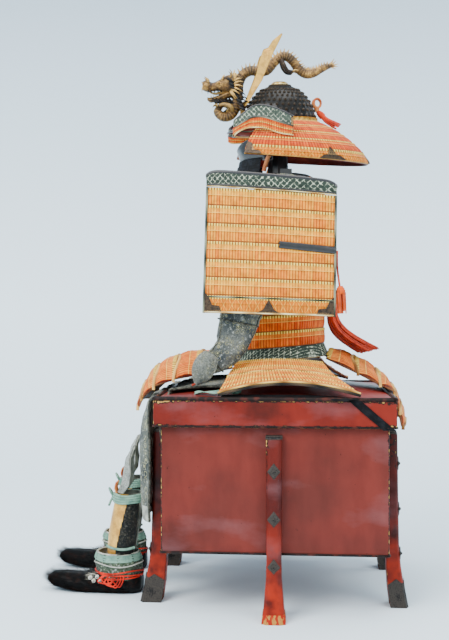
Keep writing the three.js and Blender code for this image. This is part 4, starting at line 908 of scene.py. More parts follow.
plate = (np.array([(16, 0, 0), (0, 20.5, 0), (-16, 0, 0), (0, -20.5, 0), (11, 0, 2.6), (0, 15, 2.6),
                   (-11, 0, 2.6), (0, -15, 2.6)]),
         [(0, 1, 5, 4), (1, 2, 6, 5), (2, 3, 7, 6), (3, 0, 4, 7), (4, 5, 6, 7)])


def standing_plates(places, ways):
    """Diamond plates with a stud, their long way up."""
    parts = []
    for place, way in zip(places, ways):
        way = np.array(way) / np.linalg.norm(way)
        side = np.cross((0, 0, 1), way)
        turn = np.stack([side, np.array([0, 0, 1.0]), way])
        for points, faces in (plate, (dome(5, 5)[0] + (0, 0, 2.2), dome(5, 5)[1])):
            parts.append((points @ turn + np.array(place), faces))
    return joined(parts)


points, faces = standing_plates(diamonds, ways)
put("leg_diamond_irons", seat(points), faces, IRON, smooth=False)
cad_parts["armour_stand"].data.materials.clear()
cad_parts["armour_stand"].data.materials.append(STAND_WOOD)

# Printed leather: stencilled deerskin in green and white on the caps, straps, turn-backs and hip band.
# First the leathers and edgings, then each shoulder guard's cap, braids, strap plate and fittings.

def printed(name, ground, motif, second, step_mm):
    """Stencilled leather: crossed lines with flowers between them, worn thin, on a mottled ground."""
    made, tree, shader, place = begin(name, 0.7)
    axes = add(tree, "ShaderNodeSeparateXYZ", {0: place}).outputs
    along = times(tree, sums(tree, "ADD", axes[0], axes[1]), 1000 / step_mm)
    up = times(tree, axes[2], 1000 / step_mm)
    a, b = off_middle(tree, along), off_middle(tree, up)
    line = sums(tree, "LESS_THAN", sums(tree, "ABSOLUTE", sums(tree, "SUBTRACT", a, b)), 0.13)
    near = sums(tree, "ADD", times(tree, a, a), times(tree, b, b))
    flower = ramp(tree, near, ((0.0, "#ffffff"), (0.1, "#ffffff"), (0.13, "#000000"), (0.2, "#000000"),
                               (0.23, "#c0c0c0"), (0.32, "#000000")))
    shown = sums(tree, "MAXIMUM", line, flower)
    shown = times(tree, shown, ramp(tree, noise(tree, place, 6, 7), rising(0.41, 0.58)))
    colours = blend(tree, noise(tree, place, step_mm), ground, second)
    colours = blend(tree, shown, colours, motif)
    colours = blend(tree, 0.5, colours,
                    ramp(tree, noise(tree, place, 8, 8), ((0.3, "#6a6a64"), (0.6, "#ffffff"))), "MULTIPLY")
    tree.links.new(colours, shader.inputs["Base Color"])
    bump(tree, shader, noise(tree, place, 2, 6), 0.4, 0.5)
    return made


CAP_LEATHER = printed("printed_cap_leather", "#222b25", "#c6cbb0", "#3a463b", 15)
WING_LEATHER = printed("printed_wing_leather", "#343f38", "#c4c8ae", "#4d584b", 13)
STRAP_LEATHER = printed("printed_strap_leather", "#333d31", "#8f957a", "#20281f", 12)
RIM = worn("dark_rim_lacquer", "#0f0d0e", "#1e1816", 14, rough=0.4, coat=0.3)
GILT = worn("dull_gilding", "#d6a548", "#a97a33", 10, rough=0.42, metal=0.85, edge="#f0d48c")
PALE_BRAID = cord_silk("pale_green_braid", "#81836a", "#23291f", 7)
YELLOW_CORD = cord_silk("pale_yellow_cord", "#f0dba0", "#b98a48", 5)
BRONZE = worn("dark_bronze_fitting", "#4b3a2a", "#2b221b", 7, rough=0.5, metal=0.7, edge="#8a6a42")


def slab(name, front, back):
    """A flat bronze plate between two like outlines."""
    n = len(front)
    points = np.concatenate([front, back])
    faces = [tuple(range(n)), tuple(reversed(range(n, 2 * n)))]
    faces += [(k, (k + 1) % n, n + (k + 1) % n, n + k) for k in range(n)]
    put(name, points, facing(points, faces), BRONZE, smooth=False)


CAP_PLATE = ((0, 2), (0.3, 5), (0.7, 4), (1, 3))  # v, out
CORNER_FORM = ((0, 0), (46, 0), (40, 14), (22, 16), (14, 34), (4, 44), (0, 40))  # mm along the edge, mm up
MIDDLE_FORM = ((-30, 0), (-14, 8), (0, 34), (14, 8), (30, 0))
for hand, side in HANDS:
    surface = guard(side)

    def cap_at(u, v):
        corner = 12 * np.abs(2 * u - 1) ** 14
        rise = 1.5 + (1 - v) * (37 - corner - 6 * (u - 0.5))
        return surface(u, np.zeros_like(u)) + stack(side * col(CAP_PLATE, 1, v), 0, rise)

    shell(f"{hand}_cap_plate", lambda u, v: seat(cap_at(u, v)), unit(60), unit(14), 6, (0, CHEST_Y, 900),
          [CAP_LEATHER, RIM], f"guard_cap_{hand}")
    rim_line = traced(cap_at, np.linspace(0.0, 1.0, 40), 0.02) + (side * 4, 0, 0)
    rope(f"{hand}_cap_rim", rim_line, 4.6, 8, RIM)
    for part, v, r, material in (("band", 0.86, 2.2, RIM), ("scallops", 0.97, 1.3, YELLOW_CORD)):
        line = traced(cap_at, np.linspace(0.005, 0.995, 50), v) + (side * 7, 0, 0)
        rope(f"{hand}_cap_{part}", line, r, 6, material)
    # the twisted braid down both side edges of the guard, and the pale cord along its foot
    for part, us, vs, r, material in (
        ("front_braid", np.full(60, 0.004), np.linspace(0.0, 1, 60), 3.2, PALE_BRAID),
        ("rear_braid", np.full(60, 0.996), np.linspace(0.0, 1, 60), 3.2, PALE_BRAID),
        ("foot_braid", unit(60), np.full(60, 0.988), 2.2, YELLOW_CORD),
        ("knot_braid", unit(60), np.full(60, 0.868), 2.4, PALE_BRAID),
    ):
        line = surface(us, vs) + (side * 7.5, 0, 0)
        rope(f"{hand}_guard_{part}", line, r, 6, material)
    # the strap plate at the rear edge, and the dark fittings along the foot
    strap = []
    for y in (13, 18, 60, 100, 140, 156):
        v = (GUARD["top"] - 905 + 0.05 * (y - 84)) / (GUARD["top"] - GUARD["bottom"])
        u = (y - GUARD["front"] + 8 * v) / (GUARD["back"] - GUARD["front"] + 4 * v)
        strap.append(surface(np.array(min(u, 1.0)), np.array(v)) + (side * 9, 0, 0))
    points, faces = tube(curve_through(strap, 30), [5] + [9] * 29, 12)
    middle = np.repeat(curve_through(strap, 30), 12, axis=0)
    points[:, 0] = middle[:, 0] + (points[:, 0] - middle[:, 0]) * 0.32
    put(f"{hand}_strap_plate", seat(points), faces, RIM)
    for part, form, u, flip in (("front", CORNER_FORM, 0.0, 1), ("rear", CORNER_FORM, 1.0, -1),
                                ("middle", MIDDLE_FORM, 0.5, 1)):
        along, up = np.array(form).T
        spots = traced(surface, np.clip(u + flip * along / 324, 0, 1), 0.985 - up / 305)
        slab(f"{hand}_guard_fitting_{part}", seat(spots + (side * 9.6, 0, 0)),
             seat(spots + (side * 6.5, 0, 0)))


# Body leather: breast plate, shoulder straps with the guards' hanging cords, and the flared hip band.
# The breast leather stands on the front panel, and the hip band hangs from the waist.

FRONT_TOP, GAP = WAIST + 8 * LAME["pitch"], 0.35  # the front panel's top, the gap above it


def breast(u, v):
    return torso(u, FRONT_TOP + GAP + 42 * (1 - v) * (1 - 0.25 * np.cos(np.radians(u - 270) * 3) ** 2))


shell("breast_leather", lambda u, v: seat(breast(u, v)), np.linspace(232, 308, 40), unit(10),
      4.5,
      (0, TORSO_Y + CHEST_Y, FRONT_TOP), [CAP_LEATHER, RIM], "breast_plate")
STRAP_LINE = ((0, 113.6, 1071.6), (1, 100, 1090), (2, 78, 1101), (3, 50, 1105.35), (4, 5, 1105.35),
              (5, -45, 1093),
              (6, -90, 1068), (7, -114, 1042), (8, -121, 1021), (9, -122.5, 1000))
for hand, side in HANDS:
    shell(f"{hand}_strap_band",
          lambda u, v: seat(stack(side * u, col(STRAP_LINE, 1, v * 9), col(STRAP_LINE, 2, v * 9))),
          np.linspace(58, 100, 8), unit(40), 6, (side * 80, CHEST_Y, 1000),
          [STRAP_LEATHER, RIM], f"shoulder_strap_{hand}")
    for place, y, top, reach in (("front", -50, 1094, 285), ("rear", 88, 1098, 279)):
        rope(f"{hand}_guard_hanger_{place}",
             [(side * 95, y, top), (side * 190, y, (top + 1062) / 2 - 1), (side * reach, y, 1062)], 3.6, 8,
             ORANGE_SILK)


def hip(angle, v):
    c, s = np.cos(np.radians(angle)), np.sin(np.radians(angle))
    return torso(angle, np.full_like(v, WAIST)) + stack(c * (1 + 32 * v), s * (1 + 12 * v), -2.6 - 30 * v)


shell("hip_band", lambda u, v: seat(hip(u, v)), np.linspace(0, 360, 97)[:-1], unit(7), 3,
      (0, TORSO_Y + CHEST_Y, WAIST - 20), [CAP_LEATHER, RIM], "hip_leather", around=True)
hip_line = traced(hip, np.linspace(0, 360, 97), 0.98)
rope("hip_band_edge", hip_line + (0, 0, 1.0), 2.2, 6, YELLOW_CORD)

# Helmet: a studded iron bowl under black lacquer, gilt base band and crown ring, leather-faced visor
# and turn-backs, and gilt horns.

A, B, H = BOWL["halfX"], BOWL["halfY"], BOWL["height"]
RIBS = 34
BOWL_BLACK = worn("bowl_black_lacquer", "#0e0c0a", "#1e1914", 12, rough=0.45, coat=0.15, edge="#3c3024")


def bowl_at(a, t, grow=0.0):
    return stack((A + grow) * np.cos(t) * np.cos(a), (B + grow) * np.cos(t) * np.sin(a),
                 (H + grow) * np.sin(t))


shell("studded_bowl", lambda u, v: helmet(bowl_at(u, v, -BOWL["wall"])),
      np.linspace(0, 2 * math.pi, RIBS * 6 + 1)[:-1],
      np.linspace(0, math.pi / 2 - 0.1, 24), BOWL["wall"], helmet((0, 0, 20)), [BOWL_BLACK, BOWL_BLACK],
      "helmet_bowl", rise=lambda u, v: 0.9 * np.abs(np.cos(u * RIBS / 2)) ** 6, around=True)
studs = [(a, t) for i, t in enumerate(np.linspace(0.16, 1.28, 9))
         for a in (np.arange(RIBS) + 0.5 * (i % 2)) * 2 * math.pi / RIBS
         if i < 6 or int(round(a * RIBS / math.pi)) % 2 == 0]
places = np.array([bowl_at(np.array(a), np.array(t), 0.6) for a, t in studs])
ways = np.array([(math.cos(t) * math.cos(a) / A, math.cos(t) * math.sin(a) / B, math.sin(t) / H) for a,
                 t in studs])
ways /= np.linalg.norm(ways, axis=1, keepdims=True)
scattered("bowl_studs", helmet(places), ways @ HELMET.T, dome(4.1, 3.9, 8, 4), BOWL_BLACK)


def band_at(a, z):
    return stack((A + 3.75) * np.cos(a), (B + 3.75) * np.sin(a), z)


shell("base_band", lambda u, v: helmet(band_at(u, v)), np.linspace(0, 2 * math.pi, 241)[:-1],
      np.linspace(11, -7, 8), 2.0,
      helmet((0, 0, 0)), [GILT, GILT], "bowl_band",
      rise=lambda u, v: np.where((np.cos(u * 40) > 0.35) & (np.abs(v - 2) < 6.5), -0.9, 0.6), around=True)
ring = [(11, 101.5), (24, 101), (24, 104), (20, 108), (16, 111), (12, 111), (11, 108)]
points = [(r * (1 + 0.05 * math.cos(8 * a)) * math.cos(a), r * (1 + 0.05 * math.cos(8 * a)) * math.sin(a), z)
          for r, z in ring for a in np.linspace(0, 2 * math.pi, 49)[:-1]]
faces = grid_faces(len(ring), 48, 0,
                   True) + [((len(ring) - 1) * 48 + k, (len(ring) - 1) * 48 + (k + 1) % 48, (k + 1) % 48, k)
                                              for k in range(48)]
put("crown_rosette", helmet(points), facing(points, faces), GILT, "crown_ring")


def brow(angle, out, z):
    return stack((A + BROW + out) * np.sin(np.radians(angle)),
                 -(B + BROW + out) * np.cos(np.radians(angle)), z)


def visor_at(u, v):
    share = 1 - 0.7 * np.abs(u / 60) ** 2
    return brow(u, 40 * v * share, -4 - 24 * v * share)


shell("visor_plate", lambda u, v: helmet(visor_at(u, v)), np.linspace(-60, 60, 40), unit(8), 3,
      helmet((0, -100, -200)), [WING_LEATHER, RIM], "visor")
visor_edge = traced(visor_at, np.linspace(-59, 59, 50), 1.0)
rope("visor_rim", helmet(visor_edge + np.array([0, 0, 1.5])), 2.4, 8, RIM, np.asarray)

WING_LINE = ((0, 115, -66, -44, -8), (0.1, 118, -98, -46, -14), (0.2, 126, -122, -46, -10),
             (0.3, 137, -132, -42, -5),
             (0.4, 146, -123, -33, 4), (0.52, 150, -102, -24, 20), (0.62, 152, -84, -22, 32),
             (0.74, 156, -56, -24, 34),
             (0.87, 164, -18, -37, 22), (1, 169, 18, -43, 4))  # s, x, y, low, high
WING = smooth_table(WING_LINE, 60)
WING_LACING = lacing("turn_back_lacing", 99.0, DEEP_HUES, DEEP_UPPER)
BAND_RED = worn("red_band_lacquer", "#8e2a1c", "#5c1b14", 20, rough=0.4, coat=0.3)
for hand, side in HANDS:
    def wing(u, v):
        low, high = col(WING, 3, u), col(WING, 4, u)
        return stack(side * (col(WING, 1, u) - 5 * v), col(WING, 2, u), low + (high - low) * v)

    shell(f"{hand}_turn_back", lambda u, v: helmet(wing(u, v)), unit(90), unit(26), 3.5,
          helmet((side * 120, 0, -20)), [WING_LEATHER, WING_LACING, RIM, BAND_RED],
          f"turnback_{hand}", inner_index=3,
          rise=lambda u, v: np.where(v < 0.44, 0.8 + 0.9 * np.abs(np.sin(v * 21.4)), 2.0 * (v < 0.49)),
          which=lambda u, v: np.where(v < 0.44, 1, np.where(v < 0.49, 2, np.where(v > 0.965, 2, 0))),
          uv=lambda u, v: np.stack([u * 52, np.minimum(v / 0.44 * 2, 6)], axis=-1))
    for part, v, r, material in (("top_rim", 1.0, 2.6, RIM), ("foot_rim", 0.0, 2.2, YELLOW_CORD),
                                 ("seam", 0.46, 1.8, PALE_BRAID)):
        line = traced(wing, unit(70), v)
        out = np.array([side * 2.0, 0, 0]) if part != "seam" else np.array([side * 5.0, 0, 0])
        rope(f"{hand}_turn_back_{part}", helmet(line + out), r, 8, material, np.asarray)
    end_line = traced(wing, 0.985, unit(12))
    rope(f"{hand}_turn_back_hem", helmet(end_line + (side * 2.0, 0, 0)), 3.2, 8, BRONZE,
         np.asarray)

HORN_LINE = ((0, 16, -106, 20, -100, 28), (0.12, 22, -96, 56, -90, 50), (0.26, 30, -82, 90, -75, 74),
             (0.45, 41, -67, 127, -52, 110), (0.62, 51, -58, 165, -40, 141), (0.72, 58, -50, 189, -29, 166),
             (0.76, 61, -37, 193, -23, 180), (0.87, 71, -26, 210, -12, 201), (1, 84, -3.5, 226, -1, 224))
HORN_GILT = worn("horn_matt_gilding", "#e0ac50", "#bd8a3a", 14, rough=0.5, metal=0.5, edge="#f6dfa6")
for hand, side in HANDS:
    def horn(u, v):
        front = np.stack([col(HORN_LINE, 2, v), col(HORN_LINE, 3, v)], axis=-1)
        back = np.stack([col(HORN_LINE, 4, v), col(HORN_LINE, 5, v)], axis=-1)
        mid = front + (back - front) * u[..., None]
        return stack(side * (col(HORN_LINE, 1, v) + 7 * u), mid[..., 0], mid[..., 1])

    shell(f"{hand}_horn", lambda u, v: helmet(horn(u, v)), unit(9), unit(48), 2.2,
          helmet((0, 0, 100)), [HORN_GILT, HORN_GILT], "crest_horns" if side > 0 else (),
          rise=lambda u, v: -0.9 * (2 * np.abs(u - 0.5)) ** 4)
shell("horn_bracket", lambda u, v: helmet(brow(u, 0, (40 - 0.5 * np.abs(u)) * (1 - v) + 3 * v)),
      np.linspace(-19, 19, 20),
      unit(8), 5, helmet((0, 0, 20)), [GILT, GILT],
      rise=lambda u, v: 0.6 * np.cos(u * 1.2) * np.sin(v * 6))

# Dragon: one piece of carved and gilded wood, rubbed to bronze, that coils at the brow and flies back.
# A spine tube carries fins, a head with jaw, horns, mane and beard, and clawed limbs.

DRAGON_LINE = ((-160, 48, 6), (-171, 33, 11), (-159, 19, 13), (-140, 19, 13), (-125, 34, 13), (-119, 57, 13),
               (-114, 82, 13.5), (-112, 107, 13.5), (-101, 130, 13.5), (-80, 141, 13.5), (-59, 139, 13),
               (-36, 141, 12.5),
               (-18, 160, 12.5), (-1, 176, 12), (18, 179, 12.5), (36, 166, 12.5), (53, 144, 12.5),
               (72, 132, 12),
               (92, 134, 11.5), (112, 144, 10), (131, 152, 8), (149, 153, 2.5))  # y, z, radius


def dragon_wood():
    made, tree, shader, place = begin("carved_gilded_wood", 0.5, metal=0.4)
    scales = add(tree, "ShaderNodeTexVoronoi", {"Vector": place, "Scale": 190.0},
                 feature="DISTANCE_TO_EDGE").outputs[0]
    gold = ramp(tree, noise(tree, place, 22, 6), ((0.4, "#3a2613"), (0.55, "#6e4c22"), (0.68, "#b48740")))
    # painted shade: dark lines in the grooves between the scales, where the scale bump sinks
    dark = ramp(tree, scales, ((0.0, "#3a281a"), (0.09, "#ffffff")))
    colours = blend(tree, 0.85, gold, dark, "MULTIPLY")
    sharp = add(tree, "ShaderNodeNewGeometry").outputs["Pointiness"]
    # painted highlight: pale gold on the sharpest ridges, by pointiness
    colours = blend(tree, ramp(tree, sharp, rising(0.53, 0.6)), colours, "#c79d56")
    # painted shade: the hollows darkened by pointiness, standing in for occlusion
    colours = blend(tree, 1.0, colours, ramp(tree, sharp, ((0.42, "#1e140c"), (0.5, "#ffffff"))), "MULTIPLY")
    tree.links.new(colours, shader.inputs["Base Color"])
    bump(tree, shader, scales, 0.8, 3.0)
    return made


DRAGON = dragon_wood()
spine = np.array([(i, *row) for i, row in enumerate(DRAGON_LINE)], dtype=float)
run = np.array([row[1:] for row in smooth_table([tuple(r) for r in spine], 190)])
line = np.stack([2.5 * np.sin(np.linspace(0, 14, len(run))), run[:, 0], run[:, 1]], axis=1)
parts = [tube(line, run[:, 2] * (1 + 0.035 * np.cos(np.arange(len(run)) * 2.1)), 16)]
ways = np.gradient(line, axis=0)
ways /= np.linalg.norm(ways, axis=1, keepdims=True)
ups = np.stack([np.zeros(len(ways)), -ways[:, 2], ways[:, 1]], axis=1)


def cone(base, tip, r, sides=6, bend=None, steps=6):
    """A tapered point from base to tip, bowed by bend at its middle."""
    t = np.linspace(0, 1, steps)[:, None]
    path = np.array(base) * (1 - t) + np.array(tip) * t
    if bend is not None:
        path = path + np.array(bend) * (4 * t * (1 - t))
    return tube(path, np.maximum(r * (1 - t[:, 0]) ** 0.8, 0.25), sides)


for i in range(18, len(run) - 6, 3):
    high = 9.5 * run[i, 2] / 13
    parts.append(cone(line[i] + ups[i] * run[i, 2] * 0.8,
                      line[i] + ups[i] * (run[i, 2] + high) + ways[i] * 3, 3.4, 4, steps=3))
tail = line[-1]
for k, (dy, dz) in enumerate(((14, 15), (20, 6), (20, -2), (8, 20), (13, -9))):
    parts.append(cone(tail - np.array([0, 10 + k, 0]), tail + np.array([(k - 2) * 1.5, dy - 8, dz]), 3.6, 5))
HEAD = ((-112, 105, 14, 15), (-127, 105, 25, 25), (-146, 105, 26, 24), (-166, 102, 19, 15),
        (-184, 98, 14, 12),
        (-200, 101, 17, 16), (-212, 101, 11, 11))
JAW = ((-126, 84, 15, 14), (-148, 76, 14, 10), (-172, 67, 12, 8), (-190, 63, 10, 7),
       (-199, 67, 5, 4))  # y, z, half, high
for table in (HEAD, JAW):
    fine = smooth_table([(i, *row) for i, row in enumerate(table)], 26)
    points = [(r[3] * math.cos(a) * (1 + 0.05 * math.sin(5 * a)), r[1], r[2] + r[4] * math.sin(a))
              for r in fine for a in np.linspace(0, 2 * math.pi, 21)[:-1]]
    faces = grid_faces(26, 20, 0, True) + [tuple(range(20)), tuple(reversed(range(25 * 20, 26 * 20)))]
    parts.append((np.array(points), facing(points, faces)))
tongue = curve_through([(0, -134, 88), (0, -156, 84), (0, -178, 80), (0, -194, 86)], 16)
parts.append(tube(tongue, np.linspace(6, 2, 16), 8))
for side in (1, -1):
    parts.append(cone((side * 12, -146, 112), (side * 23, -139, 143), 5.2, 7, (side * 3, 9, 2)))  # horns
    parts.append(cone((side * 14, -160, 112), (side * 20, -150, 128), 4.5, 6, (side * 4, 0, 4)))  # brows
    parts.append((dome(6, 6, 12,
                       5)[0] @ np.array([[0, 0.2, -1], [0, 1, 0.2], [1, 0, 0]]) * np.array([side, 1, 1])
                  + np.array([side * 15, -168, 106]), dome(6, 6, 12, 5)[1]))
    parts.append(cone((side * 12, -206, 96), (side * 30, -212, 84), 2.2, 5, (side * 3, -3, 8)))  # whiskers
    parts.append(cone((side * 7, -206, 104), (side * 9, -214, 112), 4, 6, None))  # nostrils
    for k in range(11):  # the mane behind the cheeks
        turn = -1.3 + 0.3 * k
        parts.append(cone((side * 17, -134 + 1.5 * k, 98 + 15 * math.sin(turn)),
                          (side * (24 + 7 * math.cos(turn)), -112 + 12 * math.cos(turn * 2),
                           99 + (38 + 5 * (k % 2)) * math.sin(turn)), 5.0, 5, (side * 9, -5, 4)))
    for k in range(5):  # teeth above and below
        parts.append(cone((side * 10, -160 - 9 * k, 88), (side * 10, -161 - 9 * k, 80), 2.0, 4, steps=3))
        parts.append(cone((side * 8.5, -160 - 7 * k, 69), (side * 8.5, -161 - 7 * k, 76), 1.8, 4, steps=3))
    for k in range(8):  # flowing locks from cheek to throat
        y, z = -146 + 5 * k, 120 - 11 * k
        lock = [(side * 21, y, z), (side * 30, y + 9, z - 7), (side * 26, y + 17, z - 13),
                (side * 31, y + 27, z - 8), (side * 25, y + 35, z - 15)]
        parts.append(tube(curve_through(lock, 14), np.linspace(5.2, 1.0, 14), 7))
    parts.append(cone((side * 12, -198, 110), (side * 15, -207, 124), 6.5, 7,
                      (side * 2, 4, 0)))  # nose wings
    for k in range(6):  # the beard
        parts.append(cone((side * (4 + k * 2), -140 - 9 * k, 66),
                          (side * (9 + k * 2), -128 - 10 * k, 38 + 2 * k), 3.6, 5, (side * 3, 9, -4)))
    limb = curve_through([(side * 7, 4, 168), (side * 20, 10, 152), (side * 19, 20, 138),
                          (side * 22, 34, 136)], 14)
    parts.append(tube(limb, np.linspace(7, 4, 14), 9))
    fore = curve_through([(side * 8, -130, 30), (side * 22, -136, 44), (side * 20, -154, 50),
                          (side * 18, -170, 46)], 14)
    parts.append(tube(fore, np.linspace(6.5, 4, 14), 9))
    for foot, way in ((limb[-1], (0, 1, -0.3)), (fore[-1], (0, -1, -0.4))):
        for k in (-1, 0, 1):
            tip = foot + np.array(way) * 14 + np.array([k * 8.0, 0, 5.0])
            parts.append(cone(foot, tip, 3.0, 5, (0, 0, 4)))
points, faces = joined(parts)
put("dragon_carving", helmet(points), faces, DRAGON, "dragon")


# Neck-guard fittings: dark bronze plates at its corners and sides, on the last lame.
# Each follows the lame's curve, a little above its lacing.

def fitting(name, outline, u0, across):
    """A plate laid on the neck guard's foot at angle u0. across is the mm in one degree there."""
    v0, down, thick = 0.995, 150, 7.6  # its foot, mm in the whole of v, mm out from the inner face
    u = np.array([[u0 + x / across for x, z in outline]])
    v = np.array([[v0 - z / down for x, z in outline]])
    base, out = neck(u, v)[0], lift(neck, u, v, np.ones_like(u), UNDER_NECK)[0]
    slab(name, helmet(base + (out - base) * (thick + 2.5)), helmet(base + (out - base) * thick))


# outlines: mm across, mm up
triangle = ((-34, 0), (-22, 12), (-12, 14), (0, 34), (12, 14), (22, 12), (34, 0))
corner = ((0, 0), (34, 0), (30, 12), (18, 14), (12, 30), (0, 36))
for u0 in (-60, 0, 60):
    fitting(f"neck_fitting_{u0 + 60}", triangle, u0, 3.4)
for u0, flip, name in ((-116.5, 1, "right"), (116.5, -1, "left")):
    fitting(f"neck_corner_{name}", [(x * flip, z) for x, z in corner], u0, 3.2)

# Face: a plain black-lacquered chin guard with a calm, general form, and its three-lame throat guard.
# The cheeks and chin swell slightly, and the inside is red lacquer.

FACE = {"halfX": 80.0, "deep": 112.0, "low": 1152.0, "high": 1212.0}


def face(angle, z, extra=0.0):
    chin = 1 - 0.16 * ((FACE["high"] - z) / (FACE["high"] - FACE["low"])) ** 2
    a = np.radians(angle)
    return stack((FACE["halfX"] * chin + extra) * np.sin(a), -(FACE["deep"] * chin + extra) * np.cos(a), z)


def mask(u, v):
    top = FACE["high"] - 26 * np.cos(np.radians(u)) ** 4
    return face(u, top + (FACE["low"] - top) * v)


MASK_BLACK = worn("mask_black_lacquer", "#0e0d0f", "#1b1a1d", 20, rough=0.3, coat=0.6, edge="#3c2a20")
NAPE_RED = worn("mask_red_inside", "#7e2116", "#5a1811", 20, rough=0.35, coat=0.4)
shell("face_guard", lambda u, v: seat(mask(u, v)), np.linspace(-84, 84, 72), unit(22), 3,
      (0, CHEST_Y, 1180), [MASK_BLACK, NAPE_RED], "chin_mask",
      rise=lambda u, v: (2.4 * np.exp(-((np.abs(u) - 34) / 9) ** 2) * np.sin(v * 3.1)
                         + 3.0 * np.exp(-(u / 12) ** 2 - ((v - 0.85) / 0.2) ** 2)))
mask_rim = traced(mask, np.linspace(-84, 84, 70), 0.0)
rope("face_guard_rim", mask_rim, 2.6, 8, MASK_BLACK)


def throat(u, v):
    flat = face(u, np.full_like(u, FACE["low"] + 4), 3.6 + 14 * v)
    flat[..., 2] = FACE["low"] + 4 - 46 * v - 4 * np.cos(np.radians(u))
    return flat


BLACK_LACING = worn("black_silk_lacing", "#131416", "#202329", 12, rough=0.7, weave_mm=3)
shell("throat_lames", lambda u, v: seat(throat(u, v)), np.linspace(-66, 66, 90), unit(37), 3,
      (0, CHEST_Y, 1180),
      [BLACK_LACING, MASK_BLACK], "throat_guard",
      rise=lambda u, v: 2.4 * (1 - (v * 3) % 1) - 0.5 * (np.cos(u * 3) > 0.3))

# Bows and tassels: laid silk cord tied in bows, with bound heads and loose strands.
# 244 strands in all: 72 in each back tassel, 32 in each guard tassel and 36 in the helmet's.

TASSEL_RED = worn("red_silk_strands", "#d8401a", "#a82c14", 12, rough=0.8, stretch=(1, 1, 0.2), sheen=0.15)
TASSEL_ORANGE = worn("orange_silk_strands", "#e25608", "#b94008", 12, rough=0.8, stretch=(1, 1, 0.2),
                     sheen=0.15)
rng = random.Random(7)


def tassel(path, spread, head_r, head_long, strands, strand_r, flat=1.0):
    """The parts of a tassel: a bound head, then strands that follow the path and fan out."""
    path = np.array(path, dtype=float)
    way = (path[1] - path[0]) / np.linalg.norm(path[1] - path[0])
    side = np.array([1.0, 0, 0])
    q = np.cross(way, side)
    q /= np.linalg.norm(q)
    p = np.cross(q, way)
    heads = [path[0] - way * head_long * (1 - t) + way * 3 * t for t in unit(14)]
    radii = [head_r * (0.45 + 0.6 * math.sin(math.pi * min(t * 0.62 + 0.03, 1)) + 0.05 * math.cos(t * 60))
             for t in unit(14)]
    made = [tube(heads, radii, 14)]
    fine = curve_through(path, 12)
    share = unit(12)
    for _ in range(strands):
        a, r = rng.uniform(0, 2 * math.pi), math.sqrt(rng.uniform(0.02, 1))
        out = p * math.cos(a) + q * math.sin(a) * flat
        wave = rng.uniform(-1.5, 1.5)
        points = fine + np.outer(head_r * r * 0.9 + spread * r * share,
                                 out) + np.outer(wave * np.sin(share * 7 + a), p)
        short = int(12 - rng.random() * 2)
        made.append(tube(points[:short], np.linspace(strand_r, strand_r * 0.5, short), 4))
    return made


def ring_path(centre, rx, rz, turn=0.0):
    """A closed loop of cord standing in x and z."""
    a = np.linspace(0, 2 * math.pi, 40)
    x, z = rx * np.cos(a), rz * np.sin(a)
    return np.stack([centre[0] + x * math.cos(turn) - z * math.sin(turn), np.full(40, float(centre[1])),
                     centre[2] + x * math.sin(turn) + z * math.cos(turn)], axis=1)


bow_y = 148.8
parts = [(dome(13, 8, 14, 6)[0] @ np.array([[1, 0, 0], [0, 0, 1], [0, 1, 0]]) * np.array([1, s, 1])
          + np.array([0, bow_y, 930]),
          dome(13, 8, 14, 6)[1]) for s in (1, -1)]
parts += [tube(ring_path((side * 38, bow_y, 936), 34, 20, side * 0.12), 4.8, 10) for side in (1, -1)]
points, faces = joined(parts)
put("back_bow_knot", seat(points), faces, RED_SILK, "back_bow")
for hand, side in HANDS:
    points, faces = joined(tassel([(side * 27, 148, 750), (side * 28, 158, 710), (side * 30, 190, 674),
                                   (side * 32, 266, 628)], 30, 16, 24, 72, 2.7, 0.7))
    put(f"bow_tassel_{hand}", seat(points), faces, TASSEL_RED)
    points, faces = joined(tassel([(side * 277, 162, 790), (side * 277, 163, 768), (side * 277, 164, 734)],
                                  1.5, 11.5, 16, 32, 2.8))
    put(f"guard_tassel_strands_{hand}", seat(points), faces, TASSEL_ORANGE)
parts = [(dome(8, 8, 10, 5)[0] * np.array([1, 1, s]) + np.array([0, 101.3, 37]), dome(8, 8, 10, 5)[1])
         for s in (1, -1)]
for side in (1, -1):
    loop = ring_path((0, 0, 0), 12, 12)
    turn = Matrix.Rotation(math.radians(side * 30), 3, "Z") @ Matrix.Rotation(math.radians(38), 3,
                                                                              "X") @ Matrix.Rotation(
        math.radians(90), 3, "Z")
    parts.append(tube(loop @ np.array(turn).T + np.array([side * 8, 102.4, 53]), 3.3, 8))
points, faces = joined(parts)
put("helmet_bow_loops", helmet(points), faces, ORANGE_SILK, "helmet_bow")
points, faces = joined(tassel([(0, 117, 18), (0, 128, 7), (0, 143, -2), (0, 166, -14)], 11, 9, 20, 36, 2.1,
                              0.6))
put("helmet_tassel", helmet(points), faces, TASSEL_RED)

# Sleeves: quilted brocade tubes tied at the shoulders, creased at the elbow, with a leaf-shaped hand guard.
# Piping runs down the two seams and round the forearm and wrist.

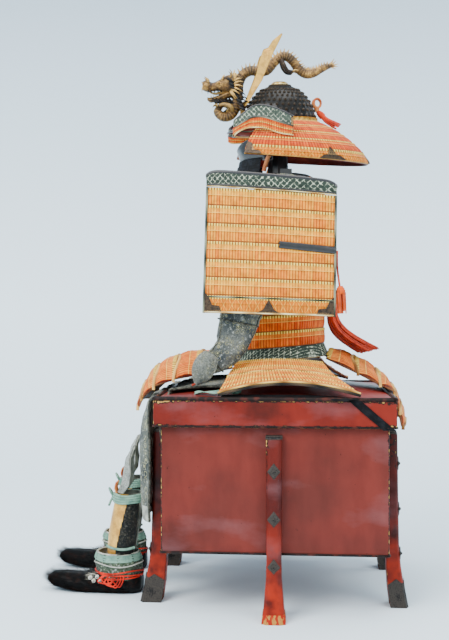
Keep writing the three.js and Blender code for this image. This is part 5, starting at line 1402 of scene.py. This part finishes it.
def brocade(name, ground, second, motif, step_mm, rough=0.9, pale="#b9bab2"):
    """Faded figured cloth: worn ground, small motifs, a weave and bare threads."""
    made, tree, shader, place = begin(name, rough, sheen=0.1)
    cells = add(tree, "ShaderNodeTexVoronoi",
                {"Vector": place, "Scale": 1000 / step_mm, "Randomness": 0.6}, feature="F1")
    figure = ramp(tree, cells.outputs["Distance"],
                  ((0.18, "#ffffff"), (0.26, "#000000"), (0.4, "#000000"), (0.46, "#ffffff"),
                                                    (0.52, "#000000")))
    rubbed = ramp(tree, noise(tree, place, 26, 7), rising(0.4, 0.56))
    colours = ramp(tree, noise(tree, place, 55, 6), ((0.38, ground), (0.62, second)))
    colours = blend(tree, times(tree, figure, rubbed), colours, motif)
    bare = ramp(tree, noise(tree, place, 7, 8), rising(0.56, 0.68))
    colours = blend(tree, times(tree, bare, 0.55), colours, pale)
    colours = blend(tree, 0.6, colours,
                    ramp(tree, noise(tree, place, 4, 8), ((0.3, "#59595c"), (0.6, "#ffffff"))), "MULTIPLY")
    tree.links.new(colours, shader.inputs["Base Color"])
    under = bump(tree, shader, noise(tree, place, 6, 6), 0.5, 1.6)
    weave = add(tree, "ShaderNodeTexWave", {"Vector": place, "Scale": 34.0, "Distortion": 0.8},
                bands_direction="DIAGONAL").outputs[1]
    bump(tree, shader, weave, 0.4, 0.5, under)
    return made


SLEEVE_CLOTH = brocade("faded_sleeve_brocade", "#383d40", "#686a63", "#9a9468", 13)
THIGH_CLOTH = brocade("faded_thigh_brocade", "#2b3032", "#6f7166", "#aca67c", 19)
CUFF_CLOTH = brocade("green_cuff_brocade", "#2d3a30", "#46523f", "#8f9a7c", 9)
KNEE_CLOTH = brocade("pale_knee_cloth", "#8f9189", "#a9aaa0", "#6a6f6a", 14)
HAND_CLOTH = brocade("grey_hand_cloth", "#62655f", "#7d7e74", "#8f8c70", 12, pale="#a9a99c")
LINEN = worn("worn_linen_lining", "#c4c2b2", "#8f8f86", 30, rough=0.95, weave_mm=2)
MINT = worn("mint_green_cloth", "#86a893", "#66897a", 24, rough=0.9, weave_mm=2)
HAND_EDGE = worn("grey_hand_edge", "#7d807c", "#5a5d5c", 12, rough=0.9)
PIPING = worn("dark_seam_piping", "#33352f", "#6a675a", 8, rough=0.85)
SLEEVE_LINE = ((0, 188, 24, 1050, 58, 54), (0.08, 212, 20, 1030, 58, 42), (0.18, 226, 12, 985, 58, 28),
               (0.34, 230, -10, 900, 56, 23), (0.5, 231, -50, 812, 55, 22), (0.64, 230, -86, 742, 54, 21),
               (0.76, 229, -98, 694, 48, 21), (0.86, 228, -114, 652, 41, 20), (0.94, 228, -140, 625, 34, 17),
               (1, 228, -162, 608, 27, 13))  # s, x, y, z, half across, half thick
SLEEVE = smooth_table(SLEEVE_LINE, 90)


def sleeve(side, shrink=5.5):
    def at(u, v):
        centre = stack(col(SLEEVE, 1, v), col(SLEEVE, 2, v), col(SLEEVE, 3, v))
        before, after = np.maximum(v - 0.03, 0), np.minimum(v + 0.03, 1)
        way = stack(*(col(SLEEVE, k, after) - col(SLEEVE, k, before) for k in (1, 2, 3)))
        way /= np.linalg.norm(way, axis=-1, keepdims=True)
        thick = np.cross(way, np.array([0, 1.0, 0]))
        thick /= np.linalg.norm(thick, axis=-1, keepdims=True)
        across = np.cross(thick, way)
        c, s = np.cos(u), np.sin(u)
        half, deep = col(SLEEVE, 4, v) - shrink, col(SLEEVE, 5, v) - shrink
        p = centre + thick * (deep * c)[..., None] + across * (half * s)[..., None]
        return p * np.array([side, 1, 1])
    return at


def creases(u, v):
    """Soft folds: deep rings at the elbow and wrist, and slanting pulls between them."""
    elbow = np.exp(-((v - 0.56) / 0.13) ** 2) + 0.8 * np.exp(-((v - 0.88) / 0.06) ** 2)
    rings = -3.6 * np.abs(np.sin(v * 46 + 0.9 * np.sin(u * 2))) * elbow
    pulls = 2.2 * np.sin(v * 21 + u * 2.0) * np.sin(u * 3 + v * 9) - 0.8
    return rings + pulls


for hand, side in HANDS:
    inside = (side * 231, -50, 812)
    body = shell(f"{hand}_sleeve", lambda u, v: seat(sleeve(side)(u, v)),
                 np.linspace(0, 2 * math.pi, 65)[:-1], unit(130), 5.5, seat(inside), [SLEEVE_CLOTH, LINEN],
                 f"sleeve_{hand}", rise=creases, around=True)
    for part, u0 in (("front", -1.05), ("rear", 1.25)):
        vs = np.linspace(0.02, 0.985, 70)
        us = np.full(70, u0)
        seam = lift(sleeve(side), us[None, :], vs[None, :], creases(us, vs)[None, :] + 5.8, inside)[0]
        rope(f"{hand}_sleeve_seam_{part}", seam, 1.6, 6, PIPING)
    for v0 in (0.7, 0.965):
        us = np.linspace(0, 2 * math.pi, 50)
        vs = np.full(50, v0)
        seam = sleeve(side, -0.6)(us, vs)
        rope(f"{hand}_sleeve_band_{int(v0 * 100)}", seam, 2.0, 6, PIPING)

HAND_LINE = ((0, 20), (0.18, 31), (0.42, 35), (0.66, 30), (0.86, 17), (1, 3))
HAND = {"x": 253, "y": -168, "top": 643, "tip": 561}
HAND_FINE = smooth_table(HAND_LINE, 40)
for hand, side in HANDS:
    def leaf(u, v):
        half = 0.8 * col(HAND_FINE, 1, v)
        return stack(side * (HAND["x"] - 9 * u * u - 8 * v * v), HAND["y"] + 6 + half * u * 0.9 - 36 * v,
                     HAND["top"] + (HAND["tip"] - HAND["top"]) * v - 8 * u * u * (1 - v) - half * u * 0.42)

    shell(f"{hand}_hand_plate", lambda u, v: seat(leaf(u, v)), np.linspace(-1, 1, 24), unit(30), 3.5,
          (0, HAND["y"] + CHEST_Y, 600), [HAND_CLOTH, LINEN], f"hand_guard_{hand}",
          rise=lambda u, v: 1.2 * (1 - u * u) * np.sin(v * 3.1))
    edge = np.concatenate([traced(leaf, -1, np.linspace(0.02, 1, 24)),
                           traced(leaf, 1, np.linspace(1, 0.02, 24))])
    rope(f"{hand}_hand_edge", edge + (side * 2.0, 0, 0), 2.0, 6, HAND_EDGE)
    rope(f"{hand}_finger_cord",
         [(side * 244, -196, 568), (side * 246, -200, 562), (side * 242, -208, 558)], 2.6, 8, RED_SILK)

# Thigh guards: two padded aprons that lie on the lid, bend over its front edge and hang before the chest.
# Sewn channels cross them, and their linen foot has lost its cover.

THIGH_LINE = ((0, -128, 0, 6, 0, 0), (0.1, -175, 0, 9, 0, 0), (0.2, -222, 0, 10, 0, 0),
              (0.3, -270, 0, 9, 0, 0),
              (0.37, -303, 537, 4, 2, 1), (0.44, -325, 512, 0, 8, 1), (0.53, -342, 465, 0, 22, 1),
              (0.63, -351, 412, 0, 34, 1),
              (0.74, -353, 352, 0, 36, 1), (0.85, -350, 292, 0, 32, 1), (0.93, -346, 248, 0, 26, 1),
              (1, -341, 208, 0, 22, 1))  # s, y, z, lift at the sides, curl of the sides, share that hangs
THIGH = {"inner": 34.0, "outer": 226.0}


def thigh(side):
    def at(u, v):
        y, z, rise, curl, hang = (col(THIGH_LINE, k, v) for k in range(1, 6))
        narrow = np.where(v > 0.63, 26 * (np.maximum(v - 0.63, 0) / 0.37) ** 1.5, 0)
        x = (THIGH["inner"] + THIGH["outer"]) / 2 + u * (THIGH["outer"] - THIGH["inner"] - narrow) / 2
        on_lid = lid_top(x, y) + 0.6 + rise * np.abs(u) ** 2
        return stack(side * x, y + curl * np.abs(u) ** 3,
                     np.where(hang > 0, on_lid + (z - on_lid) * hang, on_lid))
    return at


def quilting(u, v):
    """Sewn channels across, and slow waves where the cloth has slumped."""
    return 1.1 * np.abs(np.sin(v * 52)) ** 0.6 + 1.6 * np.sin(v * 13 + u * 2.5) * (v > 0.35) - 0.6


for hand, side in HANDS:
    surface = thigh(side)
    inside = (side * 130, -150, 300)
    apron = shell(f"{hand}_thigh_apron", lambda u, v: seat(surface(u, v)), np.linspace(-1, 1, 44),
                  unit(120), 5, seat(inside), [THIGH_CLOTH, LINEN, PIPING],
                  f"thigh_guard_{hand}", rise=quilting, which=lambda u, v: np.where(v > 0.93, 1, 0),
                  inner_index=1)
    for part, us, vs in (("outer", np.full(90, 1.0), unit(90)), ("inner", np.full(90, -1.0), unit(90)),
                         ("foot", np.linspace(-1, 1, 60), np.full(60, 1.0))):
        line = lift(surface, us[None, :], vs[None, :], np.full((1, len(us)), 2.5), inside)[0]
        rope(f"{hand}_thigh_edge_{part}", line, 3.6, 8, PIPING if part != "foot" else LINEN)

# Legs: gilt shin plates on black leather, padded knee flaps, green cuffs and long-haired fur boots.
# The right leg stands further forward, so it shows past the left one.

SHIN_LINE = ((262, -390, 32), (215, -396, 36), (160, -404, 38.5), (110, -410, 37), (61.2, -411, 33.5))
KNEE_LINE = ((0, 384, -378, 26), (0.3, 350, -398, 50), (0.55, 318, -404, 66), (0.8, 286, -410, 70),
             (1, 262.6, -420, 60))
CUFF_LINE = ((104, -421, 53), (86, -418, 50), (62, -412, 44))
BOOT_LINE = ((-612, 12, 26, 46), (-598, 26, 15, 56), (-560, 36, 6, 57), (-510, 42, 0, 55), (-470, 47, 0, 58),
             (-420, 50, 0, 62), (-376, 46, 0, 60), (-357, 30, 3, 50))  # y, half width, low, high
BOOT_SECTION = ((-0.7, 0), (0.7, 0), (0.97, 0.2), (1, 0.5), (0.82, 0.82), (0.4, 1), (-0.4, 1),
                (-0.82, 0.82), (-1, 0.5), (-0.97, 0.2))
SHIN_GILT = worn("shin_gilt_plate", "#f7ba52", "#c98e38", 30, rough=0.42, metal=0.25, edge="#5a3c22")
SCALY = brocade("black_scaly_leather", "#0b0b0b", "#181816", "#4c4636", 7, 0.6, "#57534a")
FUR = worn("black_bear_fur", "#0b0a0a", "#2a1710", 16, 0.5, 0.7, rough=0.6)
CUFF_RED = cord_silk("ankle_red_cord", "#e0280c", "#9c1a0c", 5)
WHITE_FUR = worn("white_fur_tuft", "#d9d4c6", "#b3aa96", 10, rough=0.8)
LEG_PLACES = (("left", 105, 0), ("right", -138, 28))  # hand, x, how far forward
HAIRS = 6400  # on each boot
hair = (np.array([(-0.55, 0, 0), (0.55, 0, 0), (-0.45, 0.6, 10), (0.45, 0.6, 10), (-0.3, 2.0, 20),
                  (0.3, 2.0, 20), (0, 4.0, 29)]),
        [(0, 1, 3, 2), (2, 3, 5, 4), (4, 5, 6)])
SHAPE = np.array(BOOT_SECTION + BOOT_SECTION[:1])


def boot_point(y, a):
    """A point on the boot at y, a from 0 to 1 round its section, starting under the foot."""
    half, low, high = (float(col(BOOT_SMOOTH, k, y)) for k in (1, 2, 3))
    high -= 10 * min(1.0, max(0.0, (-460 - y) / 60))
    across = np.interp(a, np.linspace(0, 1, len(SHAPE)), SHAPE[:, 0])
    up = np.interp(a, np.linspace(0, 1, len(SHAPE)), SHAPE[:, 1])
    return np.array([across * half, y, low + up * (high - low)])


BOOT_SMOOTH = smooth_table(BOOT_LINE, 50)
for hand, x0, forward in LEG_PLACES:
    rng = random.Random(211 + x0)
    offset = np.array([x0, CHEST_Y - forward, 0])

    def placed(points):
        return points + offset

    def shin(u, v):
        z = 262 + (61.2 - 262) * v
        y, r = col(SHIN_LINE, 1, z), col(SHIN_LINE, 2, z)
        return stack(r * np.sin(np.radians(u)), y - r * np.cos(np.radians(u)), z)

    shell(f"{hand}_shin_plates", lambda u, v: shin(u, v) + offset, np.linspace(-146, 146, 110), unit(40), 3,
          np.array([0, -402, 170]) + offset, [SHIN_GILT, SCALY, LINEN], f"shin_guard_{hand}",
          inner_index=2,
          rise=lambda u, v: np.where(np.abs(u) < 72, 1.3 * np.exp(-(u / 5) ** 2)
                                     + 0.7 * (np.abs(np.abs(u) - 36) < 34), 0.0),
          which=lambda u, v: np.where(np.abs(u) < 92 - 30 * v, 0, 1))

    def knee(u, v):
        a = np.radians(u * col(KNEE_LINE, 3, v))
        return stack(36 * np.sin(a), col(KNEE_LINE, 2, v) + 36 * (1 - np.cos(a)), col(KNEE_LINE, 1, v))

    flap = shell(f"{hand}_knee_flap", lambda u, v: knee(u, v) + offset, np.linspace(-1, 1, 40),
                 unit(40), 3.5,
                 np.array([0, -380, 300]) + offset, [KNEE_CLOTH, LINEN],
                 f"knee_guard_{hand}",
                 rise=lambda u, v: 1.0 * np.abs(np.sin(v * 30)) ** 0.5 + 0.8 * np.sin(u * 8 + v * 5))
    for z, r, material in ((258, 41, MINT), (252, 42, MINT), (246, 42, MINT), (240, 41, MINT),
                           (119, 42.5, MINT)):
        y = float(col(SHIN_LINE, 1, z))
        loop = [(r * math.sin(a), y - r * math.cos(a), z + 1.6 * math.sin(3 * a + z))
                for a in np.linspace(-2.5, 2.5, 50)]
        rope(f"{hand}_shin_tie_{z}", loop, 3.6, 8, material, placed)
    knot = [(0, -433, 250), (-9, -442, 262), (2, -446, 272), (10, -440, 262), (1, -437, 250),
            (-6, -444, 236), (3, -447, 226)]
    rope(f"{hand}_shin_knot", curve_through(knot, 40), 3.0, 8, MINT, placed)
    for k, x in enumerate((-10, 0, 10, 20)):
        loop = curve_through([(x, -423, 262), (x - 3, -428, 276), (x, -424, 290), (x + 4, -427, 276),
                              (x + 1, -423, 262)], 24)
        rope(f"{hand}_knee_tie_{k}", loop, 2.2, 8, ORANGE_SILK, placed)

    ankle = np.array([0, -414, 84]) + offset

    def cuff(u, v):
        z = 104 - 66 * v
        y, r = col(CUFF_LINE, 1, np.maximum(z, 84)), 50 + 4.5 * np.sin(v * 3.1) + 3 * v
        front = np.exp(-((u + math.pi / 2 + 0.3) / 0.5) ** 2) * np.exp(-((v - 0.3) / 0.3) ** 2)
        return stack((r + 12 * front) * np.cos(u), y + (r + 2 + 12 * front) * np.sin(u), z + 0.35)

    band = shell(f"{hand}_boot_cuff", lambda u, v: cuff(u, v) + offset,
                 np.linspace(-math.pi, math.pi, 61)[:-1], unit(18), 3, ankle, [CUFF_CLOTH, LINEN],
                 f"ankle_cuff_{hand}", rise=lambda u, v: 1.1 * np.sin(u * 9 + v * 3),
                 around=True)
    gaiter = shell(f"{hand}_gaiter", lambda u, v: cuff(u, 0.02 + 0.27 * v) + offset
                   + stack(1.6 * np.cos(u), 1.6 * np.sin(u), 0 * u),
                   np.linspace(-math.pi, math.pi, 61)[:-1], unit(12), 2, ankle, [MINT, MINT],
                   rise=lambda u, v: 0.9 * np.abs(np.sin(v * 9 + np.sin(u * 2))),
                   around=True)
    for k, (v, thick, grow,
            material) in enumerate(((0.0, 2.6, 1.5, LINEN), (0.42, 1.8, 3.5, LINEN), (0.7, 1.8, 6, CUFF_RED),
                                                    (0.8, 1.8, 6, CUFF_RED), (0.92, 1.9, 5, CUFF_RED))):
        a = np.linspace(-math.pi, math.pi, 60)
        loop = cuff(a, np.clip(v + 0.035 * np.sin(a * 3 + k)
                               + (0.05 * np.sin(a * 2 + k * 2) if material is CUFF_RED else 0), 0, 1))
        middle = np.array([0, -414, 0])
        loop[:, :2] += (loop[:, :2] - middle[:2]) / 54 * grow
        rope(f"{hand}_cuff_cord_{k}", loop, thick, 8, material, placed)
    for k in range(5):
        s0 = rng.uniform(-0.5, 0.5)
        route = [(52, -452 + 8 * k, 52), (60 - k, -466 + 9 * k, 38 + 6 * math.sin(k * 2)),
                 (57, -446 + 9 * k, 26 + 5 * math.cos(k)),
                 (60, -430 + 8 * k, 40 + 8 * s0), (56, -424 + 6 * k, 54)]
        rope(f"{hand}_ankle_cord_{k}", curve_through(route, 30), 1.7, 8, CUFF_RED, placed)
    for k, (y, z) in enumerate(((-488, 44), (-479, 36), (-470, 46), (-463, 35))):
        points, faces = dome(5.5, 4.0, 10, 4)
        points = points @ np.array([[0, 0.8, -0.6], [0, 0.7, 0.9], [1.0, 0, 0]]) + np.array([47.5, y, z])
        put(f"{hand}_toggle_{k}", points + offset, facing(points, faces), WHITE_FUR)
    ys, around = np.linspace(-611, -358, 50), unit(41)[:-1]
    points = np.array([boot_point(y, a) for y in ys for a in around])
    faces = grid_faces(50, 40, 0, True) + [tuple(range(40)), tuple(reversed(range(49 * 40, 50 * 40)))]
    put(f"{hand}_boot_skin", points + offset, facing(points, faces), FUR, f"boot_{hand}")
    places, ways = [], []
    for _ in range(HAIRS):
        y, a = rng.uniform(-611, -360), rng.uniform(0.12, 0.98)
        here = boot_point(y, a)
        out = here - np.array([0, y, 26.0])
        out /= np.linalg.norm(out) + 1e-6
        toward = np.array([rng.uniform(-0.35, 0.35), -0.75 + rng.uniform(-0.2, 0.3),
                           0.1 + rng.uniform(-0.25, 0.25)])
        if y < -590:
            toward = np.array([rng.uniform(-0.3, 0.3), -0.6, rng.uniform(0.0, 0.5)])
        way = out * rng.uniform(-0.04, 0.16) + toward
        way[2] = max(way[2], -here[2] / 40 + 0.02)
        places.append(here + offset)
        ways.append(way / np.linalg.norm(way))
    scattered(f"{hand}_boot_fur", places, ways, hair, FUR, size=0.8, uneven=0.5, seed=3)
    tuft_at = [np.array([s * 38, -478 + rng.uniform(-9, 9), 46 + rng.uniform(-9, 9)]) + offset
               for s in (1, -1) for _ in range(26)]
    tuft_way = [(s * rng.uniform(0.2, 0.8), -0.8, rng.uniform(-0.2, 0.3)) for s in (1, -1)
                for _ in range(26)]
    scattered(f"{hand}_white_tufts", tuft_at, tuft_way, hair, WHITE_FUR, size=1.0, uneven=0.4,
              seed=5)

# Waist tie: a black cotton band along the lid's left edge and down over its corner, and the mint belt ends.
# Both are bands with soft ripples.

TIE_LINE = ((0, 296, -130, -130, 0), (1, 298, -20, -20, 0), (2, 297, 90, 84, 0), (3, 303, 150, 128, 0),
            (4, 330, 206, 176, 531.5), (5, 330, 247, 217, 496), (6, 330, 292, 262, 458))
COTTON = worn("black_cotton", "#0f0f11", "#1b1b1e", 14, rough=0.95, weave_mm=2)


def tie(u, v):
    s = v * 6
    x, far, near, z = (col(TIE_LINE, k, s) for k in (1, 2, 3, 4))
    y = far + (near - far) * u
    across = x + u * 22
    down = s > 3.999
    return stack(np.where(down, LID_X + 0.7, across), y, np.where(down, z, lid_top(across, y) + 1.6))


band = shell("black_waist_tie", lambda u, v: seat(tie(u, v)), unit(9),
             np.unique(np.concatenate([np.linspace(0, 3.99, 50), np.linspace(4, 6, 26)])) / 6, 1.6,
             (0, 60 + CHEST_Y, 300), [COTTON, COTTON], "waist_tie",
             rise=lambda u, v: 1.4 * np.abs(np.sin(u * 9 + v * 6)))


def sheet_size(surface):
    """The mean width and length of a surface, mm."""
    v, u = np.meshgrid(unit(40), unit(40), indexing="ij")
    p = surface(u, v)
    across = np.linalg.norm(np.diff(p, axis=1), axis=-1).sum(axis=1).mean()
    along = np.linalg.norm(np.diff(p, axis=0), axis=-1).sum(axis=0).mean()
    return across / 1000, along / 1000


sheet_size(tie)
belt = [(258, -200, 3), (274, -180, 6), (284, -152, 8), (286, -128, 9), (280, -104, 6), (262, -84, 3)]
belt_line = curve_through(belt, 40)


def belt_end(u, v):
    x, y, h = (np.interp(v, unit(40), belt_line[:, k]) for k in range(3))
    x = x + (u - 0.5) * 20
    return stack(x, y, lid_top(x, y) + h + 2.5 * np.sin(u * 5 + v * 14))


ribbon = shell("mint_belt_end", lambda u, v: seat(belt_end(u, v)), unit(9), unit(50), 1.2,
               (270, -140 + CHEST_Y, 300), [MINT, MINT])
sheet_size(belt_end)


# Floor, backdrop and light: a plain pale floor that curves up behind, under soft light.
# The backdrop darkens a little with height, as in the photo: painted shade where the lights fall off.

floor_mat, floor_tree, floor_shader, floor_place = begin("pale_floor", 0.9)
height = add(floor_tree, "ShaderNodeSeparateXYZ", {0: floor_place}).outputs[2]
# painted shade: the backdrop's colour darkens with height where the lights fall off
painted_falloff_shade = ramp(floor_tree, sums(floor_tree, "MULTIPLY", height, 0.34), ((0.25, "#e9f5fb"), (0.98, "#b9c7d2")))
floor_tree.links.new(painted_falloff_shade, floor_shader.inputs["Base Color"])
run = [(6.0, 0.0), (-1.6, 0.0)] + [(-1.6 - 2.2 * math.sin(a), 2.2 - 2.2 * math.cos(a))
                                   for a in np.linspace(0.07, math.pi / 2, 22)]
run += [(-3.8, 7.0)]
points = [(x, y, z) for x, z in run for y in (-9, 9)]
mesh = bpy.data.meshes.new("floor")
mesh.from_pydata(points, [], [(2 * k, 2 * k + 1, 2 * k + 3, 2 * k + 2) for k in range(len(run) - 1)])
mesh.polygons.foreach_set("use_smooth", [True] * len(mesh.polygons))
mesh.materials.append(floor_mat)
floor = bpy.data.objects.new("floor", mesh)
bpy.context.scene.collection.objects.link(floor)
world = bpy.data.worlds.new("room")
world.use_nodes = True
world.node_tree.nodes["Background"].inputs[0].default_value = linear("#c4e0f0")
world.node_tree.nodes["Background"].inputs[1].default_value = 1.25
bpy.context.scene.world = world
for name, place, size, power, aim in (
    ("key", (2.6, -1.6, 3.0), 2.2, 220, (0, 0, 0.8)),
    ("fill", (3.0, 2.6, 2.0), 2.5, 80, (0, 0, 0.8)),
    ("top", (0.2, 0.4, 3.4), 1.8, 70, (0, 0.1, 0.8)),
    ("backdrop_left", (-1.3, -2.4, 2.6), 2.0, 60, (-3.8, -1.2, 0.9)),
    ("backdrop_right", (-1.3, 2.4, 2.6), 2.0, 60, (-3.8, 1.2, 0.9)),
):
    data = bpy.data.lights.new(name, "AREA")
    data.size = size
    data.energy = power
    lamp = bpy.data.objects.new(name, data)
    lamp.location = place
    lamp.rotation_euler = (Vector(aim) - Vector(place)).to_track_quat("-Z", "Y").to_euler()
    bpy.context.scene.collection.objects.link(lamp)
